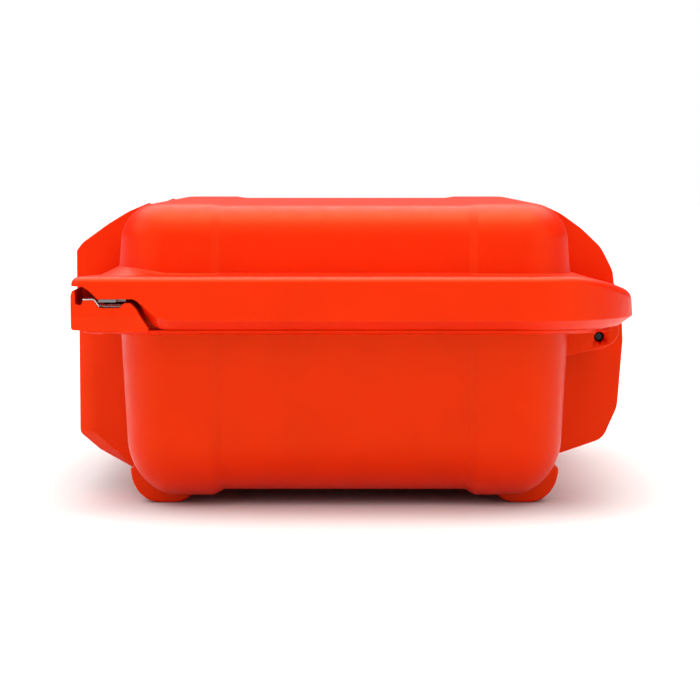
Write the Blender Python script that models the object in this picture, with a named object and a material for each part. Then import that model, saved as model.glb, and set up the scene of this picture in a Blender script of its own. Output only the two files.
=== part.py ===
"""First aid kit in a small waterproof hard case, as an assembly of separate parts.

Frame: X runs along the case, -Y is the front with the latch, +Y is the back with the hinges, +Z is up.
The origin is on the ground, under the middle of the whole case. Lengths below are millimetres.
"""

import math

import bmesh
import bpy

MM = 0.001

# ---- driving dimensions -------------------------------------------------------------------------
CASE_HALF_LENGTH = 129.5     # over the rim of the lid
RIM_FRONT_Y = -97.2
RIM_BACK_Y = 102.2
CASE_TOP_Z = 109.5
BODY_CENTRE_Y = -2.0
WALL = 3.0
GAP = 0.3                    # between pieces that touch

BODY_HALF_LENGTH = 110.7     # at the parting
BODY_HALF_WIDTH = 81.5
BODY_CORNER = 18.0
BASE_DRAFT = 0.055           # how far the base wall leans, per millimetre down
PARTING_Z = 75.6             # top of the base flange
BELLY_Z = 3.1
BELLY_ROUND = (20.0, 22.5)   # width and height of the base's bottom edge
FLOOR_Z = 8.2

BAND_Y = 45.5                # the middle of each step between end zones and the sunk middle zone
BAND_WIDTH = 4.8
SINK_WALL = 1.0
SINK_BELLY = 2.1
SINK_TOP = 0.9

LID_UNDER_Z = 76.2
LID_RIM_Z = 84.5
LID_ROUND = 13.5
LID_CEILING_Z = 105.4
LID_DRAFT = 0.08
RIM_FRONT_CORNER = 3.5
RIM_BACK_CORNER = 39.0
SKIRT_FACE_Z = 69.3
SKIRT_BOTTOM_Z = 65.9
SKIRT_CHAMFER = 4.7
SKIRT_WALL = 4.0
FLANGE_INSET = 8.0
FLANGE_WALL = 3.0
FLANGE_BOTTOM_Z = 64.1
LEDGE_Z = (65.0, 65.7)       # the thin ledge under the lid's skirt
LEDGE_INSET = 2.7
BEAD_HEIGHT = 1.2            # the bead of the base that meets the seal

HINGE_Y = 91.1
HINGE_Z = 60.6
HINGE_PIN_R = 1.6
HINGE_HOLE_R = 1.9
KNUCKLE_R = 5.2
BACK_FIN_X = (62.0, 66.0)
KNUCKLE_X = (66.4, 79.6)
OUTER_LUG_X = (80.0, 85.0)
BACK_NOTCH_X = (61.6, 88.0)

FRONT_FIN_X = (58.0, 63.0)
LATCH_BAY_X = 57.4
LATCH_BAY_Y = -91.0
LATCH_EAR_X = (50.0, 56.0)
FRONT_SLOPE = 0.4925         # of the lid's rim beside the latch, down to the front
FRONT_SLOPE_TOP_Z = 87.0     # where that slope meets the front wall
CLAW_HALF_WIDTH = 49.6
CLAW_AXIS = (-92.5, 50.0)    # Y and Z of the pin that the claw swings on
LEVER_AXIS = (-98.3, 79.5)   # Y and Z of the pin that joins the lever to the claw
CLAW_PIN_R = 1.6
LEVER_PIN_R = 1.2
LEVER_HALF_WIDTH = 43.4

TAB_Y = (-96.7, -70.0)
TAB_FRONT_X = 104.0
PLATE_X = (108.6, 125.8, 129.2)   # a padlock plate's ends, and the end of its nose
PLATE_GAP = 0.1
SEAT_Z = 73.8                # where a padlock plate lies on the tab
PAD_Z = 76.5
LID_SHELF_Z = 76.9
PADLOCK_XY = (119.0, -83.5)
PADLOCK_R = 4.5

VALVE_X = -86.0
VALVE_Z = 46.0

FOAM_HALF = (99.5, 70.5)
FOAM_TOP_Z = 44.0
POCKET_FLOOR_Z = 21.0
SUPPLY_Z = 21.3              # the underside of what lies in the pockets

CORNER_STEPS = 7


# ---- plain helpers ------------------------------------------------------------------------------
def material(name, colour, roughness, metallic=0.0):
    """A Principled material, made once for each name."""
    found = bpy.data.materials.get(name)
    if found:
        return found
    mat = bpy.data.materials.new(name)
    mat.use_nodes = True
    shader = mat.node_tree.nodes["Principled BSDF"]
    shader.inputs["Base Color"].default_value = (*colour, 1.0)
    shader.inputs["Roughness"].default_value = roughness
    shader.inputs["Metallic"].default_value = metallic
    mat.diffuse_color = (*colour, 1.0)
    return mat


def orange_plastic():
    return material("orange_plastic", (0.86, 0.05, 0.008), 0.45)


def black_plastic():
    return material("black_plastic", (0.02, 0.02, 0.022), 0.42)


def grey_plastic():
    return material("grey_plastic", (0.16, 0.165, 0.17), 0.45)


def steel():
    return material("stainless_steel", (0.62, 0.62, 0.6), 0.28, 1.0)


def rubber():
    return material("seal_rubber", (0.03, 0.03, 0.03), 0.7)


def foam():
    return material("foam", (0.045, 0.047, 0.052), 0.95)


def mesh_object(name, verts, faces, mat, smooth_angle=30.0):
    """A named object from points in millimetres, with its faces turned outwards."""
    bm = bmesh.new()
    points = [bm.verts.new((x * MM, y * MM, z * MM)) for x, y, z in verts]
    for face in faces:
        bm.faces.new([points[i] for i in face])
    bmesh.ops.remove_doubles(bm, verts=bm.verts, dist=1e-6)
    bmesh.ops.recalc_face_normals(bm, faces=bm.faces)
    mesh = bpy.data.meshes.new(name)
    bm.to_mesh(mesh)
    bm.free()
    mesh.shade_smooth()
    mesh.set_sharp_from_angle(angle=math.radians(smooth_angle))
    obj = bpy.data.objects.new(name, mesh)
    obj.data.materials.append(mat)
    bpy.context.scene.collection.objects.link(obj)
    return obj


def boolean(target, tool, operation):
    """Applies one exact Boolean to target, and removes the tool."""
    cut = target.modifiers.new("cut", "BOOLEAN")
    cut.operation = operation
    cut.solver = "EXACT"
    cut.object = tool
    graph = bpy.context.evaluated_depsgraph_get()
    result = bpy.data.meshes.new_from_object(target.evaluated_get(graph))
    target.modifiers.clear()
    old = target.data
    target.data = result
    result.name = target.name
    bpy.data.meshes.remove(old)
    bpy.data.objects.remove(tool)
    return target


def join(target, *tools):
    for tool in tools:
        boolean(target, tool, "UNION")
    return target


def cut(target, *tools):
    for tool in tools:
        boolean(target, tool, "DIFFERENCE")
    return target


def slab(name, low, high, mat):
    """A box from its lowest to its highest corner."""
    (x0, y0, z0), (x1, y1, z1) = low, high
    outline = [(y0, z0), (y1, z0), (y1, z1), (y0, z1)]
    return loft_x(name, [(x0, outline), (x1, outline)], mat)


def loft_x(name, sections, mat):
    """A solid through outlines of (y, z) points that stand at given x."""
    count = len(sections[0][1])
    verts = [(x, y, z) for x, outline in sections for y, z in outline]
    faces = [list(range(count)), list(range(len(verts) - count, len(verts)))]
    for s in range(len(sections) - 1):
        for i in range(count):
            j = (i + 1) % count
            faces.append([s * count + i, s * count + j, (s + 1) * count + j, (s + 1) * count + i])
    return mesh_object(name, verts, faces, mat)


def prism_x(name, outline, x0, x1, mat):
    return loft_x(name, [(x0, outline), (x1, outline)], mat)


def prism_z(name, outline, z0, z1, mat):
    """An upright solid of a plan outline of (x, y) points."""
    count = len(outline)
    verts = [(x, y, z) for z in (z0, z1) for x, y in outline]
    faces = [list(range(count)), list(range(count, 2 * count))]
    faces += [[i, (i + 1) % count, count + (i + 1) % count, count + i] for i in range(count)]
    return mesh_object(name, verts, faces, mat)


def arc(cx, cy, radius, start, end, steps):
    """Points on an arc, with its angles in degrees."""
    angles = [math.radians(start + (end - start) * i / steps) for i in range(steps + 1)]
    return [(cx + radius * math.cos(a), cy + radius * math.sin(a)) for a in angles]


def rounded_rectangle(x0, y0, x1, y1, radius, steps=4):
    """A plan outline with round corners, counter-clockwise."""
    points = arc(x1 - radius, y0 + radius, radius, -90, 0, steps)
    points += arc(x1 - radius, y1 - radius, radius, 0, 90, steps)
    points += arc(x0 + radius, y1 - radius, radius, 90, 180, steps)
    points += arc(x0 + radius, y0 + radius, radius, 180, 270, steps)
    return points


def turned(name, axis, centre, profile, mat, steps=24):
    """A turned solid. profile lists (distance along axis, radius) from one end to the other."""
    verts = []
    for along, radius in profile:
        for i in range(steps):
            a = 2 * math.pi * i / steps
            u, v = radius * math.cos(a), radius * math.sin(a)
            offset = {"X": (along, u, v), "Y": (u, along, v), "Z": (u, v, along)}[axis]
            verts.append(tuple(c + o for c, o in zip(centre, offset)))
    rows = len(profile)
    faces = []
    for r in range(rows - 1):
        for i in range(steps):
            j = (i + 1) % steps
            faces.append([r * steps + i, r * steps + j, (r + 1) * steps + j, (r + 1) * steps + i])
    faces.append(list(range(steps)))
    faces.append(list(range((rows - 1) * steps, rows * steps)))
    return mesh_object(name, verts, faces, mat)


def turned_ring(name, axis, centre, profile, mat, steps=28):
    """A turned solid with a hole. profile is a closed outline of (along, radius)."""
    verts = []
    for along, radius in profile:
        for i in range(steps):
            a = 2 * math.pi * i / steps
            u, v = radius * math.cos(a), radius * math.sin(a)
            offset = {"X": (along, u, v), "Y": (u, along, v), "Z": (u, v, along)}[axis]
            verts.append(tuple(c + o for c, o in zip(centre, offset)))
    rows = len(profile)
    faces = []
    for r in range(rows):
        s = (r + 1) % rows
        for i in range(steps):
            j = (i + 1) % steps
            faces.append([r * steps + i, r * steps + j, s * steps + j, s * steps + i])
    return mesh_object(name, verts, faces, mat)


# ---- rings around the case ----------------------------------------------------------------------
def sink_share(y):
    """0 in the end zones, 1 in the sunk middle zone, sloping across each band."""
    inner = BAND_Y - BAND_WIDTH / 2
    return max(0.0, min(1.0, (inner + BAND_WIDTH - abs(y - BODY_CENTRE_Y)) / BAND_WIDTH))


def half_outline(half_x, front_y, back_y, front_r, back_r):
    """The +X half of a plan outline, from the front to the back, always with as many points."""
    bands = [BODY_CENTRE_Y + side * (BAND_Y + edge * BAND_WIDTH / 2)
             for side, edge in ((-1, 1), (-1, -1), (1, -1), (1, 1))]
    points = arc(half_x - front_r, front_y + front_r, front_r, -90, 0, CORNER_STEPS)
    points += [(half_x, y) for y in bands]
    points += arc(half_x - back_r, back_y - back_r, back_r, 0, 90, CORNER_STEPS)
    return points


def ring(plan, z, sink_x=0.0, sink_z=0.0, drop=None):
    """The +X half of a ring in 3-D. drop lowers it towards the back, sinks follow the bands."""
    points = []
    for x, y in plan:
        share = sink_share(y)
        level = z + share * sink_z - (drop(y) if drop else 0.0)
        points.append((x - share * sink_x, y, level))
    return points


def body_plan(inset):
    """The body's outline at the parting, moved in by inset all round."""
    radius = max(1.5, BODY_CORNER - inset)
    front_y = BODY_CENTRE_Y - BODY_HALF_WIDTH + inset
    back_y = BODY_CENTRE_Y + BODY_HALF_WIDTH - inset
    return half_outline(BODY_HALF_LENGTH - inset, front_y, back_y, radius, radius)


def rim_plan(inset, back_gap=0.0):
    """The rim's outline, moved in by inset all round, and by back_gap more at the back."""
    front_r = max(1.5, RIM_FRONT_CORNER - inset * 0.25)
    back_r = RIM_BACK_CORNER - inset
    back_y = RIM_BACK_Y - inset - back_gap
    return half_outline(CASE_HALF_LENGTH - inset, RIM_FRONT_Y + inset, back_y, front_r, back_r)


def ring_loft(name, rings, mat):
    """A solid through half rings mirrored to -X, closed by strips along X at both ends."""
    half = len(rings[0])
    verts = []
    for points in rings:
        verts += points
        verts += [(-x, y, z) for x, y, z in reversed(points)]
    size = 2 * half
    faces = []
    for r in range(len(rings) - 1):
        for i in range(size):
            j = (i + 1) % size
            faces.append([r * size + i, r * size + j, (r + 1) * size + j, (r + 1) * size + i])
    for start in (0, (len(rings) - 1) * size):
        for i in range(half - 1):
            faces.append([start + i, start + i + 1, start + size - 2 - i, start + size - 1 - i])
    return mesh_object(name, verts, faces, mat)


def sides(x0, x1, side):
    """A span of X on one side of the case, lowest first."""
    return tuple(sorted((side * x0, side * x1)))


# ---- base ---------------------------------------------------------------------------------------
def base_outside():
    """The base's outer surface: belly, wall, and the flange with its open underside."""
    mat = orange_plastic()
    rings = []
    steps = 5
    wide, high = BELLY_ROUND
    lean = BASE_DRAFT * (PARTING_Z - BELLY_Z - high)
    for i in range(steps + 1):
        turn = math.radians(90 * i / steps)
        inset = lean + wide * (1 - math.sin(turn))
        sink = SINK_WALL + (SINK_BELLY - SINK_WALL) * math.cos(turn)
        z = BELLY_Z + high * (1 - math.cos(turn))
        rings.append(ring(body_plan(inset), z, sink * math.sin(turn), sink * math.cos(turn)))
    under = PARTING_Z - FLANGE_WALL
    rings.append(ring(body_plan(BASE_DRAFT * FLANGE_WALL), under, SINK_WALL))
    rings.append(ring(rim_plan(FLANGE_INSET + FLANGE_WALL, -0.7), under))
    rings.append(ring(rim_plan(FLANGE_INSET + FLANGE_WALL, -0.7), FLANGE_BOTTOM_Z))
    rings.append(ring(rim_plan(FLANGE_INSET, 0.0), FLANGE_BOTTOM_Z))
    rings.append(ring(rim_plan(LEDGE_INSET, 4.6), LEDGE_Z[0]))
    rings.append(ring(rim_plan(LEDGE_INSET, 4.6), LEDGE_Z[1]))
    rings.append(ring(rim_plan(FLANGE_INSET, -0.7), LEDGE_Z[1]))
    rings.append(ring(rim_plan(FLANGE_INSET, -0.7), PARTING_Z))
    rings.append(ring(body_plan(0.6), PARTING_Z))
    rings.append(ring(body_plan(0.7), PARTING_Z + BEAD_HEIGHT))
    rings.append(ring(body_plan(1.8), PARTING_Z + BEAD_HEIGHT))
    rings.append(ring(body_plan(1.9), PARTING_Z))
    return ring_loft("base_shell", rings, mat)


def base_hollow():
    """What is taken out of the base: its inside, with a round bottom edge."""
    rings = []
    steps = 4
    wide = BELLY_ROUND[0] - WALL
    high = BELLY_Z + BELLY_ROUND[1] - FLOOR_Z
    lean = BASE_DRAFT * (PARTING_Z - BELLY_Z - BELLY_ROUND[1])
    for i in range(steps + 1):
        turn = math.radians(90 * i / steps)
        inset = lean + WALL + 1.0 + wide * (1 - math.sin(turn))
        rings.append(ring(body_plan(inset), FLOOR_Z + high * (1 - math.cos(turn))))
    rings.append(ring(body_plan(WALL), PARTING_Z + 4.0))
    return ring_loft("base_hollow", rings, orange_plastic())


def front_fin_outline():
    """The side view of a fin beside the latch, on the base."""
    return [(-101.8, 65.0), (-101.8, 22.7), (-94.3, 16.3), (-82.3, 9.6), (-70.0, 8.0), (-70.0, 65.0)]


def base_front_fin(side):
    """Its front edge slopes back on the side that faces the end of the case."""
    mat = orange_plastic()
    full = front_fin_outline()
    slope = 6.2
    drawn_in = [(y + slope if y < -81 else y, z) for y, z in full]
    x0, x1 = FRONT_FIN_X
    sections = [(side * x0, full), (side * (x0 + 1.4), full), (side * x1, drawn_in)]
    return loft_x("fin", sections, mat)


def back_fin_outline():
    """The side view of an inner hinge lug, which runs down the back as a fin."""
    edge = [(78.0, 15.4), (79.7, 15.9), (94.7, 21.0), (100.0, 33.0), (101.9, 58.0)]
    head = arc(HINGE_Y - 3.0, HINGE_Z, 14.0, 15, 75, 4)
    return edge + head + [(74.0, 74.0), (74.0, 15.0)]


def base_lug_outline():
    """The side view of an outer hinge lug."""
    nose = arc(91.8, HINGE_Z + 2.6, 6.5, -60, 0, 4)
    return [(76.0, 53.2), (82.6, 54.4), (91.4, 56.4)] + nose + [(98.3, 70.0), (95.0, 74.0), (76.0, 74.0)]


def foot_outline(sign):
    """The side view of a foot. sign is -1 at the front and 1 at the back."""
    points = []
    for angle in (0, 22, 45, 68, 90):
        turn = math.radians(angle)
        points.append((-80.4 + 10.4 * (1 - math.cos(turn)), 12.5 - 12.5 * math.sin(turn)))
    points += [(-64.0, 0.0), (-61.0, 0.9), (-58.4, 2.6), (-55.0, 7.0), (-74.0, 20.0)]
    if sign < 0:
        return points
    return [(2 * BODY_CENTRE_Y - y, z) for y, z in points]


def latch_ear_outline():
    """The side view of an ear that holds the claw's pin."""
    cy, cz = CLAW_AXIS
    nose = arc(cy, cz, 3.3, 230, 100, 5)
    return [(-80.5, 40.0)] + nose + [(-84.5, 62.0), (-80.5, 62.0)]


def corner_tab(side):
    """The solid front corner of the flange, drilled for a padlock."""
    y0, y1 = TAB_Y
    slope = [(y1, 66.8), (-72.3, 70.3), (-74.0, 73.4), (-76.0, 75.5), (-78.4, 75.5)]
    seat = [(-79.7, SEAT_Z), (-86.7, SEAT_Z), (-88.9, PAD_Z), (-92.5, PAD_Z)]
    post = [(-93.2, 75.1), (-94.3, 74.9), (-95.2, 75.8), (-95.3, 80.2), (-96.1, 79.5), (y0, 77.4)]
    outline = [(y0, 67.2), (-95.7, 66.1), (y1, 65.3)] + slope + seat + post
    return prism_x("tab", outline, *sides(TAB_FRONT_X, CASE_HALF_LENGTH, side), orange_plastic())


def padlock_hole(side, z0, z1):
    x, y = PADLOCK_XY
    return turned("hole", "Z", (side * x, y, 0), [(z0, PADLOCK_R), (z1, PADLOCK_R)], steel(), 20)


def pin_hole(x0, x1):
    """A hinge pin's hole."""
    centre = (0, HINGE_Y, HINGE_Z)
    return turned("hole", "X", centre, [(x0, HINGE_HOLE_R), (x1, HINGE_HOLE_R)], orange_plastic(), 16)


def base_shell():
    mat = orange_plastic()
    shell = base_outside()
    cut(shell, slab("bay", (-LATCH_BAY_X, -110.0, 63.0), (LATCH_BAY_X, LATCH_BAY_Y + GAP, 80.0), mat))
    for side in (1, -1):
        join(shell, base_front_fin(side))
        join(shell, prism_x("fin", back_fin_outline(), *sides(*BACK_FIN_X, side), mat))
        join(shell, prism_x("lug", base_lug_outline(), *sides(*OUTER_LUG_X, side), mat))
        join(shell, prism_x("ear", latch_ear_outline(), *sides(*LATCH_EAR_X, side), mat))
        join(shell, corner_tab(side))
        for sign in (-1, 1):
            join(shell, prism_x("foot", foot_outline(sign), *sides(62.5, 87.0, side), mat))
    join(shell, turned("boss", "Y", (VALVE_X, 0, VALVE_Z), [(-83.5, 11.0), (-78.6, 11.0)], mat))
    cut(shell, base_hollow())
    join(shell, turned("boss", "Y", (VALVE_X, 0, VALVE_Z), [(-80.0, 9.5), (-77.4, 9.5)], mat))
    cut(shell, turned("hole", "Y", (VALVE_X, 0, VALVE_Z), [(-90.0, 6.0), (-70.0, 6.0)], mat, 20))
    for side in (1, -1):
        x0, x1 = sides(BACK_FIN_X[0] - 4.0, OUTER_LUG_X[1] + 4.0, side)
        x2, x3 = sides(BACK_FIN_X[1], OUTER_LUG_X[0], side)
        cut(shell, pin_hole(x0, x1), slab("notch", (x2, 84.9, 48.0), (x3, 110.0, 80.0), mat))
        low, high = SEAT_Z - 0.1, PAD_Z - 0.2
        seat = [(-79.4, low), (-79.4, 79.0), (-88.8, 79.0), (-88.8, high), (-86.8, low)]
        x4, x5 = sides(PLATE_X[0] - GAP, CASE_HALF_LENGTH + 1.0, side)
        cut(shell, padlock_hole(side, 60.0, 80.0), prism_x("seat", seat, x4, x5, mat))
    cy, cz = CLAW_AXIS
    cut(shell, turned("hole", "X", (0, cy, cz), [(-57.0, 1.9), (57.0, 1.9)], mat, 16))
    return shell


def hasp_plate(name, side, outline, nose_y):
    """A steel plate of a side view, with a padlock hole. Behind nose_y it ends short of the tab."""
    x0, x1 = sides(PLATE_X[0], PLATE_X[2], side)
    plate = prism_x(name, outline, x0, x1, steel())
    x2, x3 = sides(PLATE_X[1], PLATE_X[2] + 1.0, side)
    cut(plate, slab("step", (x2, nose_y, SEAT_Z - 2.0), (x3, -70.0, LID_SHELF_Z + 2.0), steel()))
    return cut(plate, padlock_hole(side, SEAT_Z - 2.0, LID_SHELF_Z + 2.0))


def base_hasp_outline():
    """It lies on the pad and bends down into the seat."""
    low, high = SEAT_Z + PLATE_GAP, PAD_Z + PLATE_GAP
    thick = 0.4
    under = [(-92.6, high), (-88.7, high), (-86.8, low), (-79.9, low)]
    over = [(-79.9, low + thick), (-86.5, low + thick), (-88.5, high + thick), (-92.6, high + thick)]
    return under + over


def lid_hasp_outline():
    """It lies flat under the shelf of the lid."""
    low, high = LID_SHELF_Z - 1.2, LID_SHELF_Z - PLATE_GAP
    return [(-87.1, low), (-76.6, low), (-76.6, high), (-87.1, high)]


# ---- lid ----------------------------------------------------------------------------------------
def rim_drop(y):
    """How far the top of the rim falls away towards the back."""
    past = max(0.0, y - 75.0)
    return 6.8 * (past / 26.0) ** 2


def lid_outside():
    mat = orange_plastic()
    rings = [ring(rim_plan(SKIRT_CHAMFER), SKIRT_BOTTOM_Z), ring(rim_plan(0.0), SKIRT_FACE_Z)]
    rings.append(ring(rim_plan(0.5), LID_RIM_Z - 2.6, drop=rim_drop))
    rings.append(ring(rim_plan(1.1), LID_RIM_Z - 0.8, drop=rim_drop))
    rings.append(ring(rim_plan(2.9), LID_RIM_Z, drop=rim_drop))
    rings.append(ring(body_plan(-0.6), LID_RIM_Z, drop=rim_drop))
    rings.append(ring(body_plan(-0.3), LID_RIM_Z + 2.0, SINK_WALL))
    round_z = CASE_TOP_Z - LID_ROUND
    steps = 5
    for i in range(steps + 1):
        turn = math.radians(90 * i / steps)
        inset = LID_DRAFT * (round_z - LID_UNDER_Z) - 0.6 + LID_ROUND * (1 - math.cos(turn))
        sink = SINK_WALL * math.cos(turn)
        z = round_z + LID_ROUND * math.sin(turn)
        rings.append(ring(body_plan(inset), z, sink, -SINK_TOP * math.sin(turn)))
    return ring_loft("lid_shell", rings, mat)


def front_slope(y):
    """How high the slope of the rim beside the latch is."""
    return FRONT_SLOPE_TOP_Z - FRONT_SLOPE * (BODY_CENTRE_Y - BODY_HALF_WIDTH - y)


def slope_cut(side):
    """What the rim loses to that slope. It runs out before the corner."""
    y0, y1, top = -110.0, -86.0, 95.0
    level = [(y0, front_slope(y0)), (y1, front_slope(y1)), (y1, top), (y0, top)]
    risen = [(y, z + 6.0) for y, z in level]
    sections = [(side * 60.0, level), (side * 104.0, level), (side * 122.0, risen)]
    return loft_x("slope", sections, orange_plastic())


def slope_ramp(side):
    """What the slope adds to the rim, against the front wall."""
    y0, y1 = -83.9, -88.4
    outline = [(-80.0, 83.0), (-80.0, 86.0), (-82.0, 87.6), (y0, front_slope(y0)), (y1, front_slope(y1))]
    return prism_x("ramp", outline + [(y1, 83.0)], *sides(60.0, 98.0, side), orange_plastic())


def lid_hollow():
    """The inside of the lid, from its underside to its ceiling."""
    rings = [ring(body_plan(WALL + 1.6), SKIRT_BOTTOM_Z - 5.0)]
    round_z = CASE_TOP_Z - LID_ROUND
    steps = 4
    for i in range(steps + 1):
        turn = math.radians(90 * i / steps)
        inset = WALL + 1.4 + (LID_ROUND - WALL) * (1 - math.cos(turn))
        rings.append(ring(body_plan(inset), round_z + (LID_CEILING_Z - round_z) * math.sin(turn)))
    return ring_loft("lid_hollow", rings, orange_plastic())


def rim_hollow():
    """The space inside the skirt, which the base's flange fills."""
    rings = [ring(rim_plan(SKIRT_CHAMFER + 2.2), SKIRT_BOTTOM_Z - 1.0)]
    rings.append(ring(rim_plan(SKIRT_CHAMFER + 2.2), SKIRT_BOTTOM_Z + 0.4))
    rings.append(ring(rim_plan(SKIRT_WALL), SKIRT_FACE_Z + 1.0))
    rings.append(ring(rim_plan(SKIRT_WALL), LID_UNDER_Z))
    return ring_loft("rim_hollow", rings, orange_plastic())


def gasket_ring(name, inner, outer, z0, z1, mat):
    """A closed band that follows the body's outline, between two insets."""
    band = ring_loft(name, [ring(body_plan(outer), z0), ring(body_plan(outer), z1)], mat)
    hole = ring_loft("hole", [ring(body_plan(inner), z0 - 1), ring(body_plan(inner), z1 + 1)], mat)
    return cut(band, hole)


def lid_front_fin_outline():
    """The side view of a fin beside the latch, on the lid."""
    brow = [(-102.2, 91.4), (-99.9, 94.4), (-97.7, 96.0), (-90.2, 101.2), (-82.7, 105.9), (-75.2, 109.0)]
    inside = [(-70.0, 104.0), (-78.0, 84.0), (-78.0, 77.0), (-94.3, 77.0), (-94.3, 66.2)]
    return [(-102.2, 66.2)] + brow + inside


def lid_back_fin_outline():
    """The side view of a fin over a hinge, on the lid."""
    brow = [(74.0, 106.8), (78.6, 105.0), (86.1, 99.8), (93.6, 92.7), (98.0, 84.0)]
    return brow + [(99.9, 77.0), (74.0, 77.0)]


def knuckle_outline():
    """The side view of the lid's hinge knuckle and its arm."""
    barrel = arc(HINGE_Y, HINGE_Z, KNUCKLE_R, 180, 360, 10)
    return barrel + [(HINGE_Y + KNUCKLE_R, 77.5), (HINGE_Y - KNUCKLE_R, 77.5)]


def tab_recess(side):
    """What the skirt gives way to at a front corner, round the base's tab."""
    rise = [(-62.8, 60.0), (-62.8, SKIRT_BOTTOM_Z - 0.1), (-66.8, 67.1), (-69.7, 69.4)]
    shelf = [(-71.4, 72.6), (-73.4, 75.8), (-75.1, LID_SHELF_Z), (-87.6, LID_SHELF_Z)]
    mouth = [(-89.2, 78.6), (-91.2, 80.4), (-92.9, 81.3), (-110.0, 81.4), (-110.0, 60.0)]
    x0, x1 = sides(TAB_FRONT_X - 0.8, CASE_HALF_LENGTH + 2.0, side)
    return prism_x("recess", rise + shelf + mouth, x0, x1, orange_plastic())


def lid_shell():
    mat = orange_plastic()
    shell = lid_outside()
    cut(shell, slab("bay", (-LATCH_BAY_X, -110.0, 60.0), (LATCH_BAY_X, LATCH_BAY_Y, 90.0), mat))
    for side in (1, -1):
        cut(shell, slope_cut(side))
        join(shell, slope_ramp(side))
        front_x = sides(FRONT_FIN_X[0], FRONT_FIN_X[1] - 0.4, side)
        join(shell, prism_x("fin", lid_front_fin_outline(), *front_x, mat))
        join(shell, prism_x("fin", lid_back_fin_outline(), *sides(61.0, 65.0, side), mat))
    cut(shell, rim_hollow(), lid_hollow())
    cut(shell, gasket_ring("groove", 2.9, -2.8, LID_UNDER_Z - 1.0, LID_UNDER_Z + 4.4, mat))
    for side in (1, -1):
        cut(shell, tab_recess(side), padlock_hole(side, 60.0, 90.0))
        x0, x1 = sides(*BACK_NOTCH_X, side)
        cut(shell, slab("notch", (x0, 80.0, 60.0), (x1, 110.0, LID_UNDER_Z), mat))
        knuckle = prism_x("knuckle", knuckle_outline(), *sides(*KNUCKLE_X, side), mat)
        x2, x3 = sides(KNUCKLE_X[0] - 1.0, KNUCKLE_X[1] + 1.0, side)
        join(shell, knuckle)
        cut(shell, pin_hole(x2, x3))
    ridge = [(-90.8, 83.5), (-90.8, 84.9), (-90.2, 85.1), (-89.3, 85.1), (-88.8, 84.7), (-88.8, 83.5)]
    join(shell, prism_x("ridge", ridge, -48.0, 48.0, mat))
    return shell


# ---- latch --------------------------------------------------------------------------------------
def latch_claw():
    """The claw: a barrel on its pin, a plate up the front, and a nose over the rim of the lid."""
    mat = black_plastic()
    cy, cz = CLAW_AXIS
    barrel = arc(cy, cz, 2.9, 155, 375, 9)
    hooked = [(-91.3, 55.0), (-91.3, 84.0), (-90.9, 85.5), (-88.6, 85.5), (-88.2, 85.1), (-86.6, 85.2)]
    nose = [(-86.2, 86.2), (-87.4, 88.6), (-90.0, 90.0), (-93.2, 89.4), (-94.9, 86.5), (-94.9, 55.0)]
    claw = prism_x("latch_claw", barrel + hooked + nose, -CLAW_HALF_WIDTH, CLAW_HALF_WIDTH, mat)
    ly, lz = LEVER_AXIS
    ear = [(-94.0, 73.0), (-94.0, 86.5)] + arc(ly, lz, 2.9, 80, 250, 6)
    for side in (1, -1):
        join(claw, prism_x("ear", ear, *sides(LEVER_HALF_WIDTH + 0.4, CLAW_HALF_WIDTH, side), mat))
    post = [(-93.9, 57.6), (-93.9, 64.4), (-98.4, 64.4), (-98.4, 57.6)]
    hook = [(-97.4, 57.6), (-97.4, 64.4), (-98.4, 64.4), (-98.4, 57.6)]
    keeper = join(prism_x("keeper", post, 17.0, 19.0, mat), prism_x("hook", hook, 12.6, 18.0, mat))
    join(claw, keeper)
    cut(claw, turned("hole", "X", (0, cy, cz), [(-51.0, 1.9), (51.0, 1.9)], mat, 16))
    return cut(claw, turned("hole", "X", (0, ly, lz), [(-51.0, 1.5), (51.0, 1.5)], mat, 12))


def latch_lever():
    """The lever: a plate that hangs from its pin, with a finger lip and a window for the lock."""
    mat = black_plastic()
    ly, lz = LEVER_AXIS
    head = arc(ly, lz, 2.6, 0, 180, 6)
    plate = [(-100.9, 75.0), (-100.0, 73.0), (-100.0, 44.0)]
    lip = [(-102.0, 40.0), (-101.6, 38.2), (-99.6, 38.2), (-96.5, 42.6), (-96.5, 75.0)]
    lever = prism_x("latch_lever", head + plate + lip, -LEVER_HALF_WIDTH, LEVER_HALF_WIDTH, mat)
    cut(lever, slab("window", (-20.0, -104.0, 56.0), (20.6, -90.0, 66.0), mat))
    for x in (-33.0, 33.0):
        cut(lever, slab("scallop", (x - 7.0, -104.0, 48.0), (x + 7.0, -98.9, 70.0), mat))
    return cut(lever, turned("hole", "X", (0, ly, lz), [(-45.0, 1.5), (45.0, 1.5)], mat, 12))


def latch_slide_lock():
    """The slider: a ribbed thumb piece in front of the lever, with a tongue behind its window."""
    mat = grey_plastic()
    lock = slab("latch_slide_lock", (-15.0, -101.5, 54.6), (10.0, -100.4, 67.4), mat)
    join(lock, slab("web", (-11.0, -100.6, 56.6), (2.6, -96.6, 65.4), mat))
    join(lock, slab("tongue", (-11.0, -97.0, 56.6), (8.0, -95.5, 65.4), mat))
    for i in range(5):
        x = -11.5 + 4.3 * i
        join(lock, slab("rib", (x, -102.1, 56.0), (x + 1.6, -101.2, 66.0), mat))
    return lock


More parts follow.
